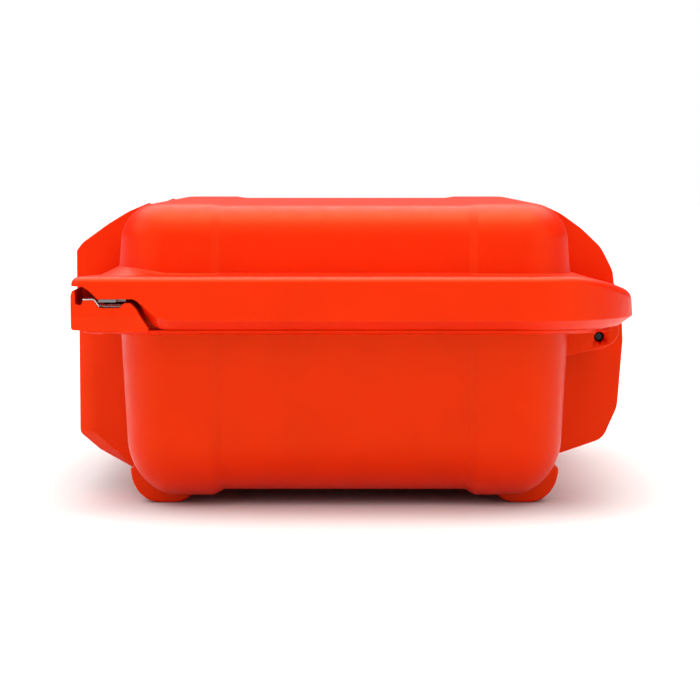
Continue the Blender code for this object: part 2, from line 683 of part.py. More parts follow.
def pins():
    """The steel pins of the hinges and of the latch."""
    for side, name in ((1, "hinge_pin_right"), (-1, "hinge_pin_left")):
        x0, x1 = sides(BACK_FIN_X[0] + 0.3, OUTER_LUG_X[1] - 0.2, side)
        turned(name, "X", (0, HINGE_Y, HINGE_Z), [(x0, HINGE_PIN_R), (x1, HINGE_PIN_R)], steel(), 16)
    cy, cz = CLAW_AXIS
    turned("claw_pin", "X", (0, cy, cz), [(-55.8, CLAW_PIN_R), (55.8, CLAW_PIN_R)], steel(), 16)
    ly, lz = LEVER_AXIS
    turned("lever_pin", "X", (0, ly, lz), [(-49.2, LEVER_PIN_R), (49.2, LEVER_PIN_R)], steel(), 12)


# ---- valve --------------------------------------------------------------------------------------
def pressure_valve():
    """The valve that lets the case breathe: body, seal and the nut inside the wall."""
    centre = (VALVE_X, 0, VALVE_Z)
    profile = [(-88.0, 7.5), (-87.6, 9.6), (-86.8, 10.4), (-85.1, 10.4), (-85.1, 5.6), (-73.7, 5.6)]
    body = turned("valve_body", "Y", centre, profile, black_plastic(), 24)
    cut(body, turned("vent", "Y", centre, [(-90.0, 2.0), (-86.0, 2.0)], black_plastic(), 12))
    seal = [(-84.8, 6.2), (-84.8, 9.8), (-83.8, 9.8), (-83.8, 6.2)]
    turned_ring("valve_seal", "Y", centre, seal, rubber(), 24)
    nut = turned("valve_nut", "Y", centre, [(-77.1, 9.0), (-74.2, 9.0)], black_plastic(), 6)
    cut(nut, turned("bore", "Y", centre, [(-80.0, 6.0), (-70.0, 6.0)], black_plastic(), 20))


# ---- contents -----------------------------------------------------------------------------------
POCKETS = {
    "rolls": (-97.0, 2.0, -8.0, 66.0),
    "tape": (-4.0, 6.0, 56.0, 66.0),
    "bottle": (62.0, 2.0, 97.0, 66.0),
    "dressings": (-97.0, -68.0, -18.0, -4.0),
    "plasters": (-12.0, -68.0, 47.0, -4.0),
    "blanket": (53.0, -68.0, 97.0, -4.0),
}


def foam_insert():
    """The foam block in the base, with one pocket for each kind of supply."""
    hx, hy = FOAM_HALF
    y0, y1 = BODY_CENTRE_Y - hy, BODY_CENTRE_Y + hy
    plan = rounded_rectangle(-hx, y0, hx, y1, 14.0)
    block = prism_z("foam_insert", plan, FLOOR_Z + 12.0, FOAM_TOP_Z, foam())
    foot_plan = rounded_rectangle(-84.0, y0 + 15.0, 84.0, y1 - 15.0, 6.0, 3)
    join(block, prism_z("foot", foot_plan, FLOOR_Z + 0.4, POCKET_FLOOR_Z, foam()))
    for low_x, low_y, high_x, high_y in POCKETS.values():
        pocket = rounded_rectangle(low_x, low_y, high_x, high_y, 4.0, 3)
        cut(block, prism_z("pocket", pocket, POCKET_FLOOR_Z, 60.0, foam()))
    return block


def pocket_centre(name):
    x0, y0, x1, y1 = POCKETS[name]
    return (x0 + x1) / 2, (y0 + y1) / 2


def gauze_rolls():
    """Three rolled bandages, side by side."""
    mat = material("gauze", (0.78, 0.75, 0.68), 0.9)
    cx, cy = pocket_centre("rolls")
    radius = 14.0
    profile = [(-29.0, 13.4), (-28.4, radius), (28.4, radius), (29.0, 13.4)]
    for i in range(3):
        centre = (cx + (i - 1) * 29.0, cy, SUPPLY_Z + radius)
        turned("gauze_roll_%d" % (i + 1), "Y", centre, profile, mat, 20)


def tape_roll():
    cx, cy = pocket_centre("tape")
    z = SUPPLY_Z
    white = material("tape_white", (0.8, 0.79, 0.76), 0.7)
    wound = [(z, 14.4), (z, 27.5), (z + 25.0, 27.5), (z + 25.0, 14.4)]
    turned_ring("tape_roll", "Z", (cx, cy, 0), wound, white)
    blue = material("core_blue", (0.03, 0.12, 0.3), 0.5)
    core = [(z, 12.5), (z, 14.1), (z + 25.6, 14.1), (z + 25.6, 12.5)]
    turned_ring("tape_core", "Z", (cx, cy, 0), core, blue)


def antiseptic_bottle():
    cx = pocket_centre("bottle")[0]
    z = SUPPLY_Z + 15.0
    white = material("bottle_white", (0.78, 0.8, 0.8), 0.35)
    profile = [(4.0, 13.5), (5.5, 15.0), (42.0, 15.0), (47.0, 12.0), (48.5, 6.2), (50.0, 6.2)]
    turned("antiseptic_bottle", "Y", (cx, 0, z), profile, white, 24)
    green = material("cap_green", (0.02, 0.25, 0.1), 0.4)
    turned("bottle_cap", "Y", (cx, 0, z), [(50.4, 8.0), (50.8, 8.6), (63.4, 8.6), (64.2, 7.6)], green, 24)


def flat_pack(name, centre, size, z0, mat, radius=3.0):
    cx, cy = centre
    w, d, h = size
    plan = rounded_rectangle(cx - w / 2, cy - d / 2, cx + w / 2, cy + d / 2, radius, 3)
    return prism_z(name, plan, z0, z0 + h, mat)


def flat_supplies():
    """Dressing packs, the plaster box and the folded foil blanket."""
    z = SUPPLY_Z
    paper = material("pack_paper", (0.72, 0.76, 0.74), 0.75)
    centre = pocket_centre("dressings")
    for i in range(4):
        flat_pack("dressing_pack_%d" % (i + 1), centre, (74.0, 60.0, 6.0), z + 6.4 * i, paper)
    card = material("card_green", (0.03, 0.3, 0.14), 0.6)
    flat_pack("plaster_box", pocket_centre("plasters"), (55.0, 60.0, 26.0), z, card, 1.2)
    foil = material("foil", (0.75, 0.72, 0.62), 0.25, 1.0)
    flat_pack("foil_blanket", pocket_centre("blanket"), (40.0, 60.0, 26.0), z, foil, 3.0)


SCISSORS_PIVOT = (-6.0, 24.0)
SCISSORS_Z = 88.5


def scissor_outline(side):
    """The plan of one half: a blade on one side of the pivot and an arm to its ring on the other."""
    px, py = SCISSORS_PIVOT
    blade = [(-72.0, 0.6), (-60.0, -3.0), (0.0, -5.5), (8.0, -4.5)]
    arm = [(33.0, 5.0), (31.0, 11.0), (8.0, 5.5), (0.0, 5.5), (-60.0, 1.2)]
    return [(px + u, py + side * v) for u, v in blade + arm]


def scissors():
    """Two blades with finger rings, riveted so that one turns on the other."""
    px, py = SCISSORS_PIVOT
    thick = 1.7
    halves = ((1, "scissors_lower_half", SCISSORS_Z), (-1, "scissors_upper_half", SCISSORS_Z + 2.0))
    for side, name, z in halves:
        half = prism_z(name, scissor_outline(side), z, z + thick, steel())
        centre = (px + 42.0, py + side * 14.0, 0)
        finger = [(z, 9.0), (z, 13.0), (z + thick, 13.0), (z + thick, 9.0)]
        join(half, turned_ring("ring", "Z", centre, finger, steel(), 20))
        cut(half, turned("hole", "Z", (px, py, 0), [(z - 1.0, 1.8), (z + 3.0, 1.8)], steel(), 12))
    z = SCISSORS_Z
    rivet = [(z - 0.7, 2.4), (z - 0.3, 3.0), (z - 0.3, 1.5), (z + 3.9, 1.5)]
    turned("scissors_rivet", "Z", (px, py, 0), rivet, steel(), 16)


def tweezers():
    """Two sprung legs joined at the tail, lying flat."""
    y, z = -50.0, 89.6
    outside = [(-52.0, -0.8), (-20.0, -4.6), (20.0, -5.0), (44.0, -2.4)]
    tip = [(48.0, 0.0), (44.0, 2.4), (20.0, 5.0)]
    tail = [(-20.0, 4.6), (-52.0, 0.8)]
    inside = [(-20.0, 3.4), (20.0, 3.8), (38.0, 0.0), (20.0, -3.8), (-20.0, -3.4)]
    outline = [(u, y + v) for u, v in outside + tip + tail + inside]
    return prism_z("tweezers", outline, z, z + 4.0, steel())


def lid_lining():
    """The foam pad in the lid, and the elastic loops that hold the tools on it."""
    hx, hy = 96.0, 68.0
    pad_outline = rounded_rectangle(-hx, BODY_CENTRE_Y - hy, hx, BODY_CENTRE_Y + hy, 12.0, 4)
    prism_z("lid_pad", pad_outline, 94.4, 105.0, foam())
    webbing = material("elastic_webbing", (0.03, 0.03, 0.035), 0.85)
    top, thick, tail = 94.1, 0.9, 7.0
    tweezer_loops = [(x, -50.0, 8.5, 88.0, 12.0) for x in (-30.0, 26.0)]
    scissor_loop = (36.0, 38.0, 14.45, 87.0, 5.0)
    for index, (x, y, half, low, width) in enumerate((*tweezer_loops, scissor_loop)):
        left = [(-half - tail, top), (-half - tail, top - thick), (-half, 93.0), (-half, low)]
        right = [(half, low), (half, 93.0), (half + tail, top - thick), (half + tail, top)]
        bore = half - thick
        inside = [(bore, top), (bore, low + thick), (-bore, low + thick), (-bore, top)]
        outline = [(y + v, z) for v, z in left + right + inside]
        prism_x("elastic_loop_%d" % (index + 1), outline, x - width / 2, x + width / 2, webbing)


# ---- assembly -----------------------------------------------------------------------------------
def main():
    for obj in list(bpy.data.objects):
        bpy.data.objects.remove(obj)
    base_shell()
    lid_shell()
    gasket_ring("lid_gasket", 2.5, -2.4, LID_UNDER_Z + 1.0, LID_UNDER_Z + 4.0, rubber())
    for side, word in ((1, "right"), (-1, "left")):
        hasp_plate("base_hasp_plate_" + word, side, base_hasp_outline(), -86.9)
        hasp_plate("lid_hasp_plate_" + word, side, lid_hasp_outline(), -81.0)
    latch_claw()
    latch_lever()
    latch_slide_lock()
    pins()
    pressure_valve()
    foam_insert()
    gauze_rolls()
    tape_roll()
    antiseptic_bottle()
    flat_supplies()
    lid_lining()
    scissors()
    tweezers()


main()
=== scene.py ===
"""Looks of the first aid kit: moulded shells, latch, steel, seal, foam and supplies.

Lengths are millimetres until a mesh is made. X runs along the case, -Y is the front, +Z is up.
"""

import math

import bmesh
import bpy
from mathutils import Matrix, Vector, noise


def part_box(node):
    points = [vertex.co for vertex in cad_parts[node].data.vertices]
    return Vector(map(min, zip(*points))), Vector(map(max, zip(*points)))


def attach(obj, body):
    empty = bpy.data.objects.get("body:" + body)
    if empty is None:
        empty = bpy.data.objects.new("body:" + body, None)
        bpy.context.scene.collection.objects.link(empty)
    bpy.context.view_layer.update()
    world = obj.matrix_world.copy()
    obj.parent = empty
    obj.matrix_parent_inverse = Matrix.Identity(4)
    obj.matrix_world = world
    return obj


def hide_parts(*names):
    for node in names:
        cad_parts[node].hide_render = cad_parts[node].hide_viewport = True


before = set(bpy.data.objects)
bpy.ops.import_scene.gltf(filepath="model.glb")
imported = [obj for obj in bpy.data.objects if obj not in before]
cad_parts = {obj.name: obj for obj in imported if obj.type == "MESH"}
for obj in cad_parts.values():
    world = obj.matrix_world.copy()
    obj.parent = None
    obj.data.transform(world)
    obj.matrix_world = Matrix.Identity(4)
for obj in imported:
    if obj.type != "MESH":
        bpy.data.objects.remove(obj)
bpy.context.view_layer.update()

MM = 0.001
TO_MM = 1000.0


def node_box(name):
    """A CAD node's lowest and highest corner, in millimetres."""
    low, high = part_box(name)
    return low * TO_MM, high * TO_MM


# ---- dimensions, from the frame and from the design of the case ---------------------------------
LID_HIGH = node_box("lid_shell")[1]
HALF_LENGTH = LID_HIGH.x
RIM_FRONT_Y = -97.2
RIM_BACK_Y = LID_HIGH.y
TOP_Z = LID_HIGH.z
CENTRE_Y = -2.0
WALL = 3.0
BODY_HALF_LENGTH = 110.7
BODY_HALF_WIDTH = 81.5
BODY_CORNER = 18.0
BASE_DRAFT = 0.055
LID_DRAFT = 0.08
PARTING_Z = 75.6
BELLY_Z = 3.1
BELLY_WIDE, BELLY_HIGH = 20.0, 22.5
FLOOR_Z = 8.2
BAND_Y = 45.8
BAND_WIDTH = 4.0
SINK_WALL = 1.6
SINK_BELLY = 2.1
SINK_TOP = 0.6
LID_UNDER_Z = 76.2
LID_RIM_Z = 84.5
LID_ROUND = 13.5
CEILING_Z = 105.4
RIM_FRONT_CORNER = 3.5
RIM_BACK_CORNER = 39.0
SKIRT_FACE_Z = 69.3
SKIRT_BOTTOM_Z = 65.9
SKIRT_CHAMFER = 4.7
SKIRT_WALL = 4.0
FLANGE_INSET = 8.0
FLANGE_WALL = 3.0
FLANGE_BOTTOM_Z = 64.1
LEDGE_LOW_Z, LEDGE_HIGH_Z = 65.0, 65.84
LEDGE_INSET = 4.3
HINGE_Y, HINGE_Z = 91.1, 60.6
HINGE_HOLE_R = 1.9
KNUCKLE_R = 5.2
BACK_FIN_X = (62.0, 66.0)
KNUCKLE_X = (66.4, 79.6)
OUTER_LUG_X = (80.0, 85.0)
BACK_NOTCH_X = (61.6, 88.0)
FRONT_FIN_X = (58.0, 63.0)
LATCH_BAY_X = 57.4
LATCH_BAY_Y = -91.0
LATCH_EAR_X = (50.0, 56.0)
CLAW_AXIS = (-92.5, 50.0)
LEVER_AXIS = (-98.3, 79.5)
TAB_FRONT_X = 104.0
TAB_Y = (-96.7, -70.0)
SEAT_Z, PAD_Z, LID_SHELF_Z = 73.8, 76.5, 76.9
PLATE_X = (108.6, 124.6, 129.2)
PLATE_GAP = 0.1
FRONT_SLOPE, FRONT_SLOPE_TOP_Z = 0.4925, 87.0
PADLOCK_X, PADLOCK_Y, PADLOCK_R = 119.0, -83.5, 4.5

ROUND_LIGHT = ((-1.0, 0.12), (-0.6, 0.04), (0.05, 0.04), (0.35, 1.5), (0.82, 1.5), (0.95, 0.3))
OVER_LIGHT = ((0.65, 0.0), (0.9, 4.2))
OVER_AXIS = (-0.3, 0.0, 0.95)

CORNER_STEPS = 16
BAND_STEPS = 6
FRONT_X = (6.0, 30.0, 57.0, 58.6, 60.4, 62.2, 70.0, 79.0, 88.0)


# ---- materials ----------------------------------------------------------------------------------
class Recipe:
    """Builds one node material around a Principled shader."""

    def __init__(self, name, colour, roughness, metallic=0.0, specular=0.5):
        self.material = bpy.data.materials.new(name)
        self.material.use_nodes = True
        self.tree = self.material.node_tree
        self.shader = self.tree.nodes["Principled BSDF"]
        self.shader.inputs["Base Color"].default_value = (*colour, 1.0)
        self.shader.inputs["Roughness"].default_value = roughness
        self.shader.inputs["Metallic"].default_value = metallic
        self.shader.inputs["Specular IOR Level"].default_value = specular
        self.colour = colour
        self.normal = None

    def node(self, kind, **settings):
        made = self.tree.nodes.new(kind)
        for key, value in settings.items():
            setattr(made, key, value)
        return made

    def link(self, source, target):
        self.tree.links.new(source, target)

    def coords(self, scale=(1.0, 1.0, 1.0)):
        """Coordinates fixed to the piece, in millimetres times scale."""
        place = self.node("ShaderNodeTexCoord")
        mapping = self.node("ShaderNodeMapping")
        mapping.inputs["Scale"].default_value = [TO_MM * s for s in scale]
        self.link(place.outputs["Object"], mapping.inputs["Vector"])
        return mapping.outputs["Vector"]

    def noise(self, size, detail=3.0, stretch=(1.0, 1.0, 1.0), rough=0.55):
        """Noise whose grains are about size millimetres across."""
        made = self.node("ShaderNodeTexNoise")
        made.inputs["Scale"].default_value = 1.0 / size
        made.inputs["Detail"].default_value = detail
        made.inputs["Roughness"].default_value = rough
        self.link(self.coords(stretch), made.inputs["Vector"])
        return made.outputs["Fac"]

    def cells(self, size, feature="F1"):
        made = self.node("ShaderNodeTexVoronoi", feature=feature)
        made.inputs["Scale"].default_value = 1.0 / size
        self.link(self.coords(), made.inputs["Vector"])
        return made.outputs["Distance"]

    def wave(self, size, direction, distortion=0.0):
        made = self.node("ShaderNodeTexWave", bands_direction=direction)
        made.inputs["Scale"].default_value = 0.314 / size
        made.inputs["Distortion"].default_value = distortion
        self.link(self.coords(), made.inputs["Vector"])
        return made.outputs["Fac"]

    def maths(self, operation, first, second):
        made = self.node("ShaderNodeMath", operation=operation)
        for socket, value in zip(made.inputs, (first, second)):
            if isinstance(value, (int, float)):
                socket.default_value = value
            else:
                self.link(value, socket)
        return made.outputs["Value"]

    def spread(self, factor, low, high, start=0.3, end=0.7):
        """factor from start..end mapped to low..high."""
        made = self.node("ShaderNodeMapRange")
        self.link(factor, made.inputs["Value"])
        for key, value in (("From Min", start), ("From Max", end), ("To Min", low), ("To Max", high)):
            made.inputs[key].default_value = value
        return made.outputs["Result"]

    def tint(self, factor, dark, light):
        """The colour runs from dark to light with factor."""
        made = self.node("ShaderNodeMix", data_type="RGBA")
        made.inputs["A"].default_value = (*dark, 1.0)
        made.inputs["B"].default_value = (*light, 1.0)
        self.link(factor, made.inputs["Factor"])
        self.link(made.outputs["Result"], self.shader.inputs["Base Color"])
        return made.outputs["Result"]

    def rough(self, factor, low, high):
        self.link(self.spread(factor, low, high), self.shader.inputs["Roughness"])

    def bump(self, height, depth, strength=1.0):
        """Adds relief depth millimetres deep."""
        made = self.node("ShaderNodeBump")
        made.inputs["Distance"].default_value = depth * MM
        made.inputs["Strength"].default_value = strength
        self.link(height, made.inputs["Height"])
        if self.normal is not None:
            self.link(self.normal, made.inputs["Normal"])
        self.normal = made.outputs["Normal"]
        self.link(self.normal, self.shader.inputs["Normal"])


def scaled(colour, factor):
    return tuple(min(1.0, c * factor) for c in colour)


def moulded(name, colour, roughness, grain=0.02, mottle=0.04, specular=0.5, specular_tint=(1, 1, 1)):
    """Injection-moulded plastic with a fine spark-eroded grain."""
    r = Recipe(name, colour, roughness, specular=specular)
    r.shader.inputs["Specular Tint"].default_value = (*specular_tint, 1.0)
    broad = r.noise(26.0, 2.0)
    r.tint(r.spread(broad, 0.0, 1.0), scaled(colour, 1 - mottle), scaled(colour, 1 + mottle))
    r.rough(r.noise(5.0, 4.0), roughness - 0.05, roughness + 0.06)
    r.bump(r.noise(9.0, 2.0), 0.03, 0.5)
    r.bump(r.noise(0.55, 2.0), grain)
    return r.material


def brushed(name, colour, roughness, stretch):
    """Steel with fine lines along the axis that stretch leaves small."""
    r = Recipe(name, colour, roughness, 1.0)
    lines = r.noise(0.35, 3.0, stretch)
    r.rough(lines, roughness - 0.06, roughness + 0.12)
    r.tint(r.spread(r.noise(6.0), 0.0, 1.0), scaled(colour, 0.93), scaled(colour, 1.05))
    r.bump(lines, 0.006)
    return r.material


def foamed(name, colour):
    """Closed-cell foam: small pores on a soft uneven surface."""
    r = Recipe(name, colour, 0.95, specular=0.2)
    pores = r.spread(r.cells(0.9), 0.0, 1.0, 0.1, 0.55)
    r.tint(pores, scaled(colour, 0.55), scaled(colour, 1.35))
    r.bump(r.noise(7.0), 0.25, 0.6)
    r.bump(pores, 0.18)
    return r.material


def woven(name, dark, light, thread, sheen=0.3, crossing=("X", "Y")):
    """Cloth of crossing threads, thread millimetres wide."""
    r = Recipe(name, light, 0.9, specular=0.25)
    r.shader.inputs["Sheen Weight"].default_value = sheen
    weave = r.maths("MULTIPLY", r.wave(thread, crossing[0]), r.wave(thread, crossing[1]))
    fuzz = r.noise(1.2, 4.0)
    r.tint(r.maths("MULTIPLY", r.spread(weave, 0.35, 1.0, 0.0, 0.6), r.spread(fuzz, 0.75, 1.0)), dark, light)
    r.bump(weave, 0.12)
    r.bump(fuzz, 0.08)
    return r.material


def papery(name, colour, roughness=0.7, fibre=0.03):
    """Paper or card with a faint fibre."""
    r = Recipe(name, colour, roughness, specular=0.35)
    fibres = r.noise(0.8, 5.0, (1.0, 0.35, 1.0))
    r.tint(r.spread(fibres, 0.0, 1.0), scaled(colour, 0.93), scaled(colour, 1.04))
    r.rough(fibres, roughness - 0.08, roughness + 0.08)
    r.bump(fibres, fibre)
    return r.material


def crinkled(name, colour):
    """Metallised film with sharp creases."""
    r = Recipe(name, colour, 0.2, 1.0)
    creases = r.cells(7.0, "DISTANCE_TO_EDGE")
    fine = r.cells(2.2, "DISTANCE_TO_EDGE")
    r.rough(r.noise(3.0), 0.14, 0.32)
    r.tint(r.spread(r.noise(8.0), 0.0, 1.0), scaled(colour, 0.85), scaled(colour, 1.08))
    r.bump(r.spread(creases, 0.0, 1.0, 0.0, 0.25), 0.7)
    r.bump(r.spread(fine, 0.0, 1.0, 0.0, 0.25), 0.2)
    return r.material


def smooth_rubber(name, colour):
    r = Recipe(name, colour, 0.62, specular=0.4)
    dust = r.noise(2.5, 5.0)
    r.tint(r.spread(dust, 0.0, 1.0), scaled(colour, 0.8), scaled(colour, 1.5))
    r.rough(dust, 0.5, 0.72)
    r.bump(dust, 0.03)
    return r.material


ORANGE_COLOUR = (0.76, 0.015, 0.0003)
ORANGE = moulded("orange_moulded", ORANGE_COLOUR, 0.4, specular=0.35, specular_tint=(1.0, 0.7, 0.16))
BLACK = moulded("black_moulded", (0.018, 0.018, 0.02), 0.42, 0.03, 0.15)
GREY = moulded("grey_moulded", (0.11, 0.115, 0.12), 0.45, 0.03, 0.08)
STEEL = brushed("brushed_stainless", (0.66, 0.66, 0.64), 0.26, (0.04, 1.0, 1.0))
# darker stainless: painted shade for the lid's corner plates, which sit in the shaded gap under the lid
SHADED_PLATE_STEEL = brushed("stainless_painted_shade", (0.24, 0.24, 0.235), 0.36, (0.04, 1.0, 1.0))
# near-black steel: painted shade for the hinge pins' ends, deep in their holes
SHADED_PIN_STEEL = brushed("pin_steel_painted_shade", (0.03, 0.03, 0.032), 0.3, (0.04, 1.0, 1.0))
POLISHED = brushed("polished_stainless", (0.7, 0.7, 0.69), 0.16, (0.05, 1.0, 1.0))
RUBBER = smooth_rubber("seal_rubber", (0.022, 0.022, 0.023))
FOAM = foamed("closed_cell_foam", (0.05, 0.052, 0.058))
WEBBING = woven("elastic_webbing", (0.008, 0.008, 0.01), (0.045, 0.045, 0.05), 0.45)
GAUZE = woven("gauze_crepe", (0.5, 0.47, 0.4), (0.86, 0.84, 0.77), 0.5, 0.4, ("Y", "DIAGONAL"))
CLOTH_TAPE = woven("cloth_tape", (0.62, 0.61, 0.58), (0.86, 0.85, 0.82), 0.35, 0.2, ("Z", "DIAGONAL"))
CORE_BLUE = moulded("blue_spool", (0.02, 0.1, 0.3), 0.38)
BOTTLE = moulded("bottle_plastic", (0.8, 0.82, 0.83), 0.3, 0.008, 0.02)
CAP_GREEN = moulded("green_cap", (0.01, 0.2, 0.07), 0.34)
PAPER = papery("sachet_paper", (0.8, 0.82, 0.8), 0.62)
PRINT_GREEN = papery("green_print", (0.01, 0.23, 0.09), 0.5)
PRINT_WHITE = papery("white_print", (0.85, 0.86, 0.84), 0.55)
CARD = papery("green_card", (0.012, 0.25, 0.1), 0.48, 0.02)
FOIL = crinkled("foil_film", (0.86, 0.82, 0.7))


# ---- numbers ------------------------------------------------------------------------------------
def clamped(value):
    return max(0.0, min(1.0, value))


def eased(value, start, end):
    """0 before start, 1 after end, and a smooth rise between."""
    t = clamped((value - start) / (end - start))
    return t * t * (3 - 2 * t)


def spaced(start, end, count):
    return [start + (end - start) * i / (count - 1) for i in range(count)]


def sides(x0, x1, side):
    """The same stretch of X on the side +1 or -1, lower end first."""
    return tuple(sorted((side * x0, side * x1)))


def blend_point(first, second, share):
    return tuple(a + (b - a) * share for a, b in zip(first, second))


def middle(low, high):
    return tuple((a + b) / 2 for a, b in zip(low, high))


# ---- mesh helpers -------------------------------------------------------------------------------
def make(name, verts, faces, mat, sharp=32.0):
    """An object from points in millimetres, closed and turned outwards, smooth but for sharp edges."""
    bm = bmesh.new()
    points = [bm.verts.new((x * MM, y * MM, z * MM)) for x, y, z in verts]
    for face in faces:
        bm.faces.new([points[i] for i in face])
    bmesh.ops.remove_doubles(bm, verts=bm.verts, dist=1e-6)
    bmesh.ops.recalc_face_normals(bm, faces=bm.faces)
    mesh = bpy.data.meshes.new(name)
    bm.to_mesh(mesh)
    bm.free()
    obj = bpy.data.objects.new(name, mesh)
    bpy.context.scene.collection.objects.link(obj)
    obj.data.materials.append(mat)
    smooth(obj, sharp)
    return obj


def smooth(obj, sharp=32.0):
    obj.data.shade_smooth()
    obj.data.set_sharp_from_angle(angle=math.radians(sharp))


def applied(obj):
    """Puts the result of obj's modifiers in its mesh."""
    graph = bpy.context.evaluated_depsgraph_get()
    result = bpy.data.meshes.new_from_object(obj.evaluated_get(graph))
    obj.modifiers.clear()
    old = obj.data
    obj.data = result
    result.name = obj.name
    bpy.data.meshes.remove(old)
    return obj


def bevelled(obj, width, segments=3, angle=32.0):
    """Rounds obj's sharp edges, width millimetres wide."""
    mod = obj.modifiers.new("round", "BEVEL")
    mod.width = width * MM
    mod.segments = segments
    mod.limit_method = "ANGLE"
    mod.angle_limit = math.radians(angle)
    mod.miter_outer = "MITER_ARC"
    mod.use_clamp_overlap = True
    applied(obj)
    smooth(obj, 40.0)
    return obj


def cut(target, tool):
    """Takes tool's solid out of target. Faces of many corners are split, so that none folds over."""
    mod = target.modifiers.new("cut", "BOOLEAN")
    mod.operation = "DIFFERENCE"
    mod.solver = "EXACT"
    mod.object = tool
    applied(target)
    bpy.data.objects.remove(tool)
    bm = bmesh.new()
    bm.from_mesh(target.data)
    bmesh.ops.remove_doubles(bm, verts=bm.verts, dist=1e-6)
    many_sided = [face for face in bm.faces if len(face.verts) > 4]
    bmesh.ops.triangulate(bm, faces=many_sided)
    bm.to_mesh(target.data)
    bm.free()
    return target


def merged(target, *others):
    """One object that holds the meshes of all, each still closed."""
    bm = bmesh.new()
    materials = []
    for obj in (target, *others):
        first = len(bm.faces)
        bm.from_mesh(obj.data)
        bm.faces.ensure_lookup_table()
        for face in bm.faces[first:]:
            mat = obj.data.materials[face.material_index]
            if mat not in materials:
                materials.append(mat)
            face.material_index = materials.index(mat)
    name = target.name
    mesh = bpy.data.meshes.new(name)
    bm.to_mesh(mesh)
    bm.free()
    for mat in materials:
        mesh.materials.append(mat)
    target.data = mesh
    for obj in others:
        bpy.data.objects.remove(obj)
    return target


def weighted(obj):
    """Large flats stay flat beside their round edges."""
    mod = obj.modifiers.new("flats", "WEIGHTED_NORMAL")
    mod.keep_sharp = True
    mod.weight = 80
    return obj


def piece(obj, body, slot, *replaced):
    """Gives a finished piece its body and hides the CAD nodes that it stands for; slot is not used."""
    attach(obj, body)
    if replaced:
        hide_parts(*replaced)
    return obj


def strips(count, rows, closed=False):
    """The faces between rows of count points each. closed joins the last row to the first."""
    faces = []
    for r in range(rows if closed else rows - 1):
        s = (r + 1) % rows
        for i in range(count):
            j = (i + 1) % count
            faces.append([r * count + i, r * count + j, s * count + j, s * count + i])
    return faces


def capped(count, rows):
    """The faces between rows of count points each, with a face over both ends."""
    last = (rows - 1) * count
    return [list(range(count)), list(range(last, last + count))] + strips(count, rows)


def loft_x(name, sections, mat, bevel=0.0, segments=3):
    """A solid through outlines of (y, z) points that stand at given x."""
    verts = [(x, y, z) for x, outline in sections for y, z in outline]
    obj = make(name, verts, capped(len(sections[0][1]), len(sections)), mat)
    return bevelled(obj, bevel, segments) if bevel else obj


def prism_x(name, outline, x0, x1, mat, bevel=0.0, segments=3):
    return loft_x(name, [(x0, outline), (x1, outline)], mat, bevel, segments)


def prism_y(name, outline, y0, y1, mat, sharp=32.0):
    """A solid of an outline of (x, z) points."""
    verts = [(x, y, z) for y in (y0, y1) for x, z in outline]
    return make(name, verts, capped(len(outline), 2), mat, sharp)


def prism_z(name, outline, z0, z1, mat, bevel=0.0, segments=3):
    verts = [(x, y, z) for z in (z0, z1) for x, y in outline]
    obj = make(name, verts, capped(len(outline), 2), mat)
    return bevelled(obj, bevel, segments) if bevel else obj


def slab(name, low, high, mat, bevel=0.0):
    (x0, y0, z0), (x1, y1, z1) = low, high
    return prism_x(name, [(y0, z0), (y1, z0), (y1, z1), (y0, z1)], x0, x1, mat, bevel)


def arc(cx, cy, radius, start, end, steps=12):
    angles = [math.radians(start + (end - start) * i / steps) for i in range(steps + 1)]
    return [(cx + radius * math.cos(a), cy + radius * math.sin(a)) for a in angles]


def knurled(cx, cz, steps, radii):
    """A round outline whose radius runs through radii again and again."""
    points = []
    for i in range(steps):
        a = 2 * math.pi * i / steps
        radius = radii[i % len(radii)]
        points.append((cx + radius * math.cos(a), cz + radius * math.sin(a)))
    return points


def rounded_rectangle(x0, y0, x1, y1, radius, steps=8):
    points = arc(x1 - radius, y0 + radius, radius, -90, 0, steps)
    points += arc(x1 - radius, y1 - radius, radius, 0, 90, steps)
    points += arc(x0 + radius, y1 - radius, radius, 90, 180, steps)
    points += arc(x0 + radius, y0 + radius, radius, 180, 270, steps)
    return points


def filleted(points, steps=4):
    """A path of (u, v, radius) points with its corners rounded to arcs."""
    path = []
    for i, (u, v, radius) in enumerate(points):
        if radius <= 0 or i in (0, len(points) - 1):
            path.append((u, v))
            continue
        here = Vector((u, v))
        before = (Vector(points[i - 1][:2]) - here).normalized()
        after = (Vector(points[i + 1][:2]) - here).normalized()
        half = before.angle(after) / 2
        back = radius / math.tan(half)
        centre = here + (before + after).normalized() * (radius / math.sin(half))
        start, end = here + before * back - centre, here + after * back - centre
        sweep = start.angle_signed(end)
        for k in range(steps + 1):
            turned = start.copy()
            turned.rotate(Matrix.Rotation(-sweep * k / steps, 2))
            path.append(tuple(centre + turned))
    return path


def closed_fillet(points, steps=4):
    """A closed outline of (u, v, radius) points with its corners rounded."""
    wrapped = [points[-1], *points, points[0]]
    path = filleted(wrapped, steps)
    return path[1:-1]


def turned(name, axis, centre, profile, mat, steps=64, hollow=False):
    """A turned solid through (along, radius) points; hollow closes the profile on itself."""
    verts = []
    for along, radius in profile:
        for i in range(steps):
            a = 2 * math.pi * i / steps
            u, v = radius * math.cos(a), radius * math.sin(a)
            offset = {"X": (along, u, v), "Y": (u, along, v), "Z": (u, v, along)}[axis]
            verts.append(tuple(c + o for c, o in zip(centre, offset)))
    rows = len(profile)
    faces = strips(steps, rows, hollow)
    if not hollow:
        faces.append(list(range(steps)))
        faces.append(list(range((rows - 1) * steps, rows * steps)))
    return make(name, verts, faces, mat)


# ---- rings round the case -----------------------------------------------------------------------
def sink_share(y):
    """0 in the end zones, 1 in the sunk middle zone, easing across each band."""
    inner = BAND_Y - BAND_WIDTH / 2
    return clamped((inner + BAND_WIDTH - abs(y - CENTRE_Y)) / BAND_WIDTH)


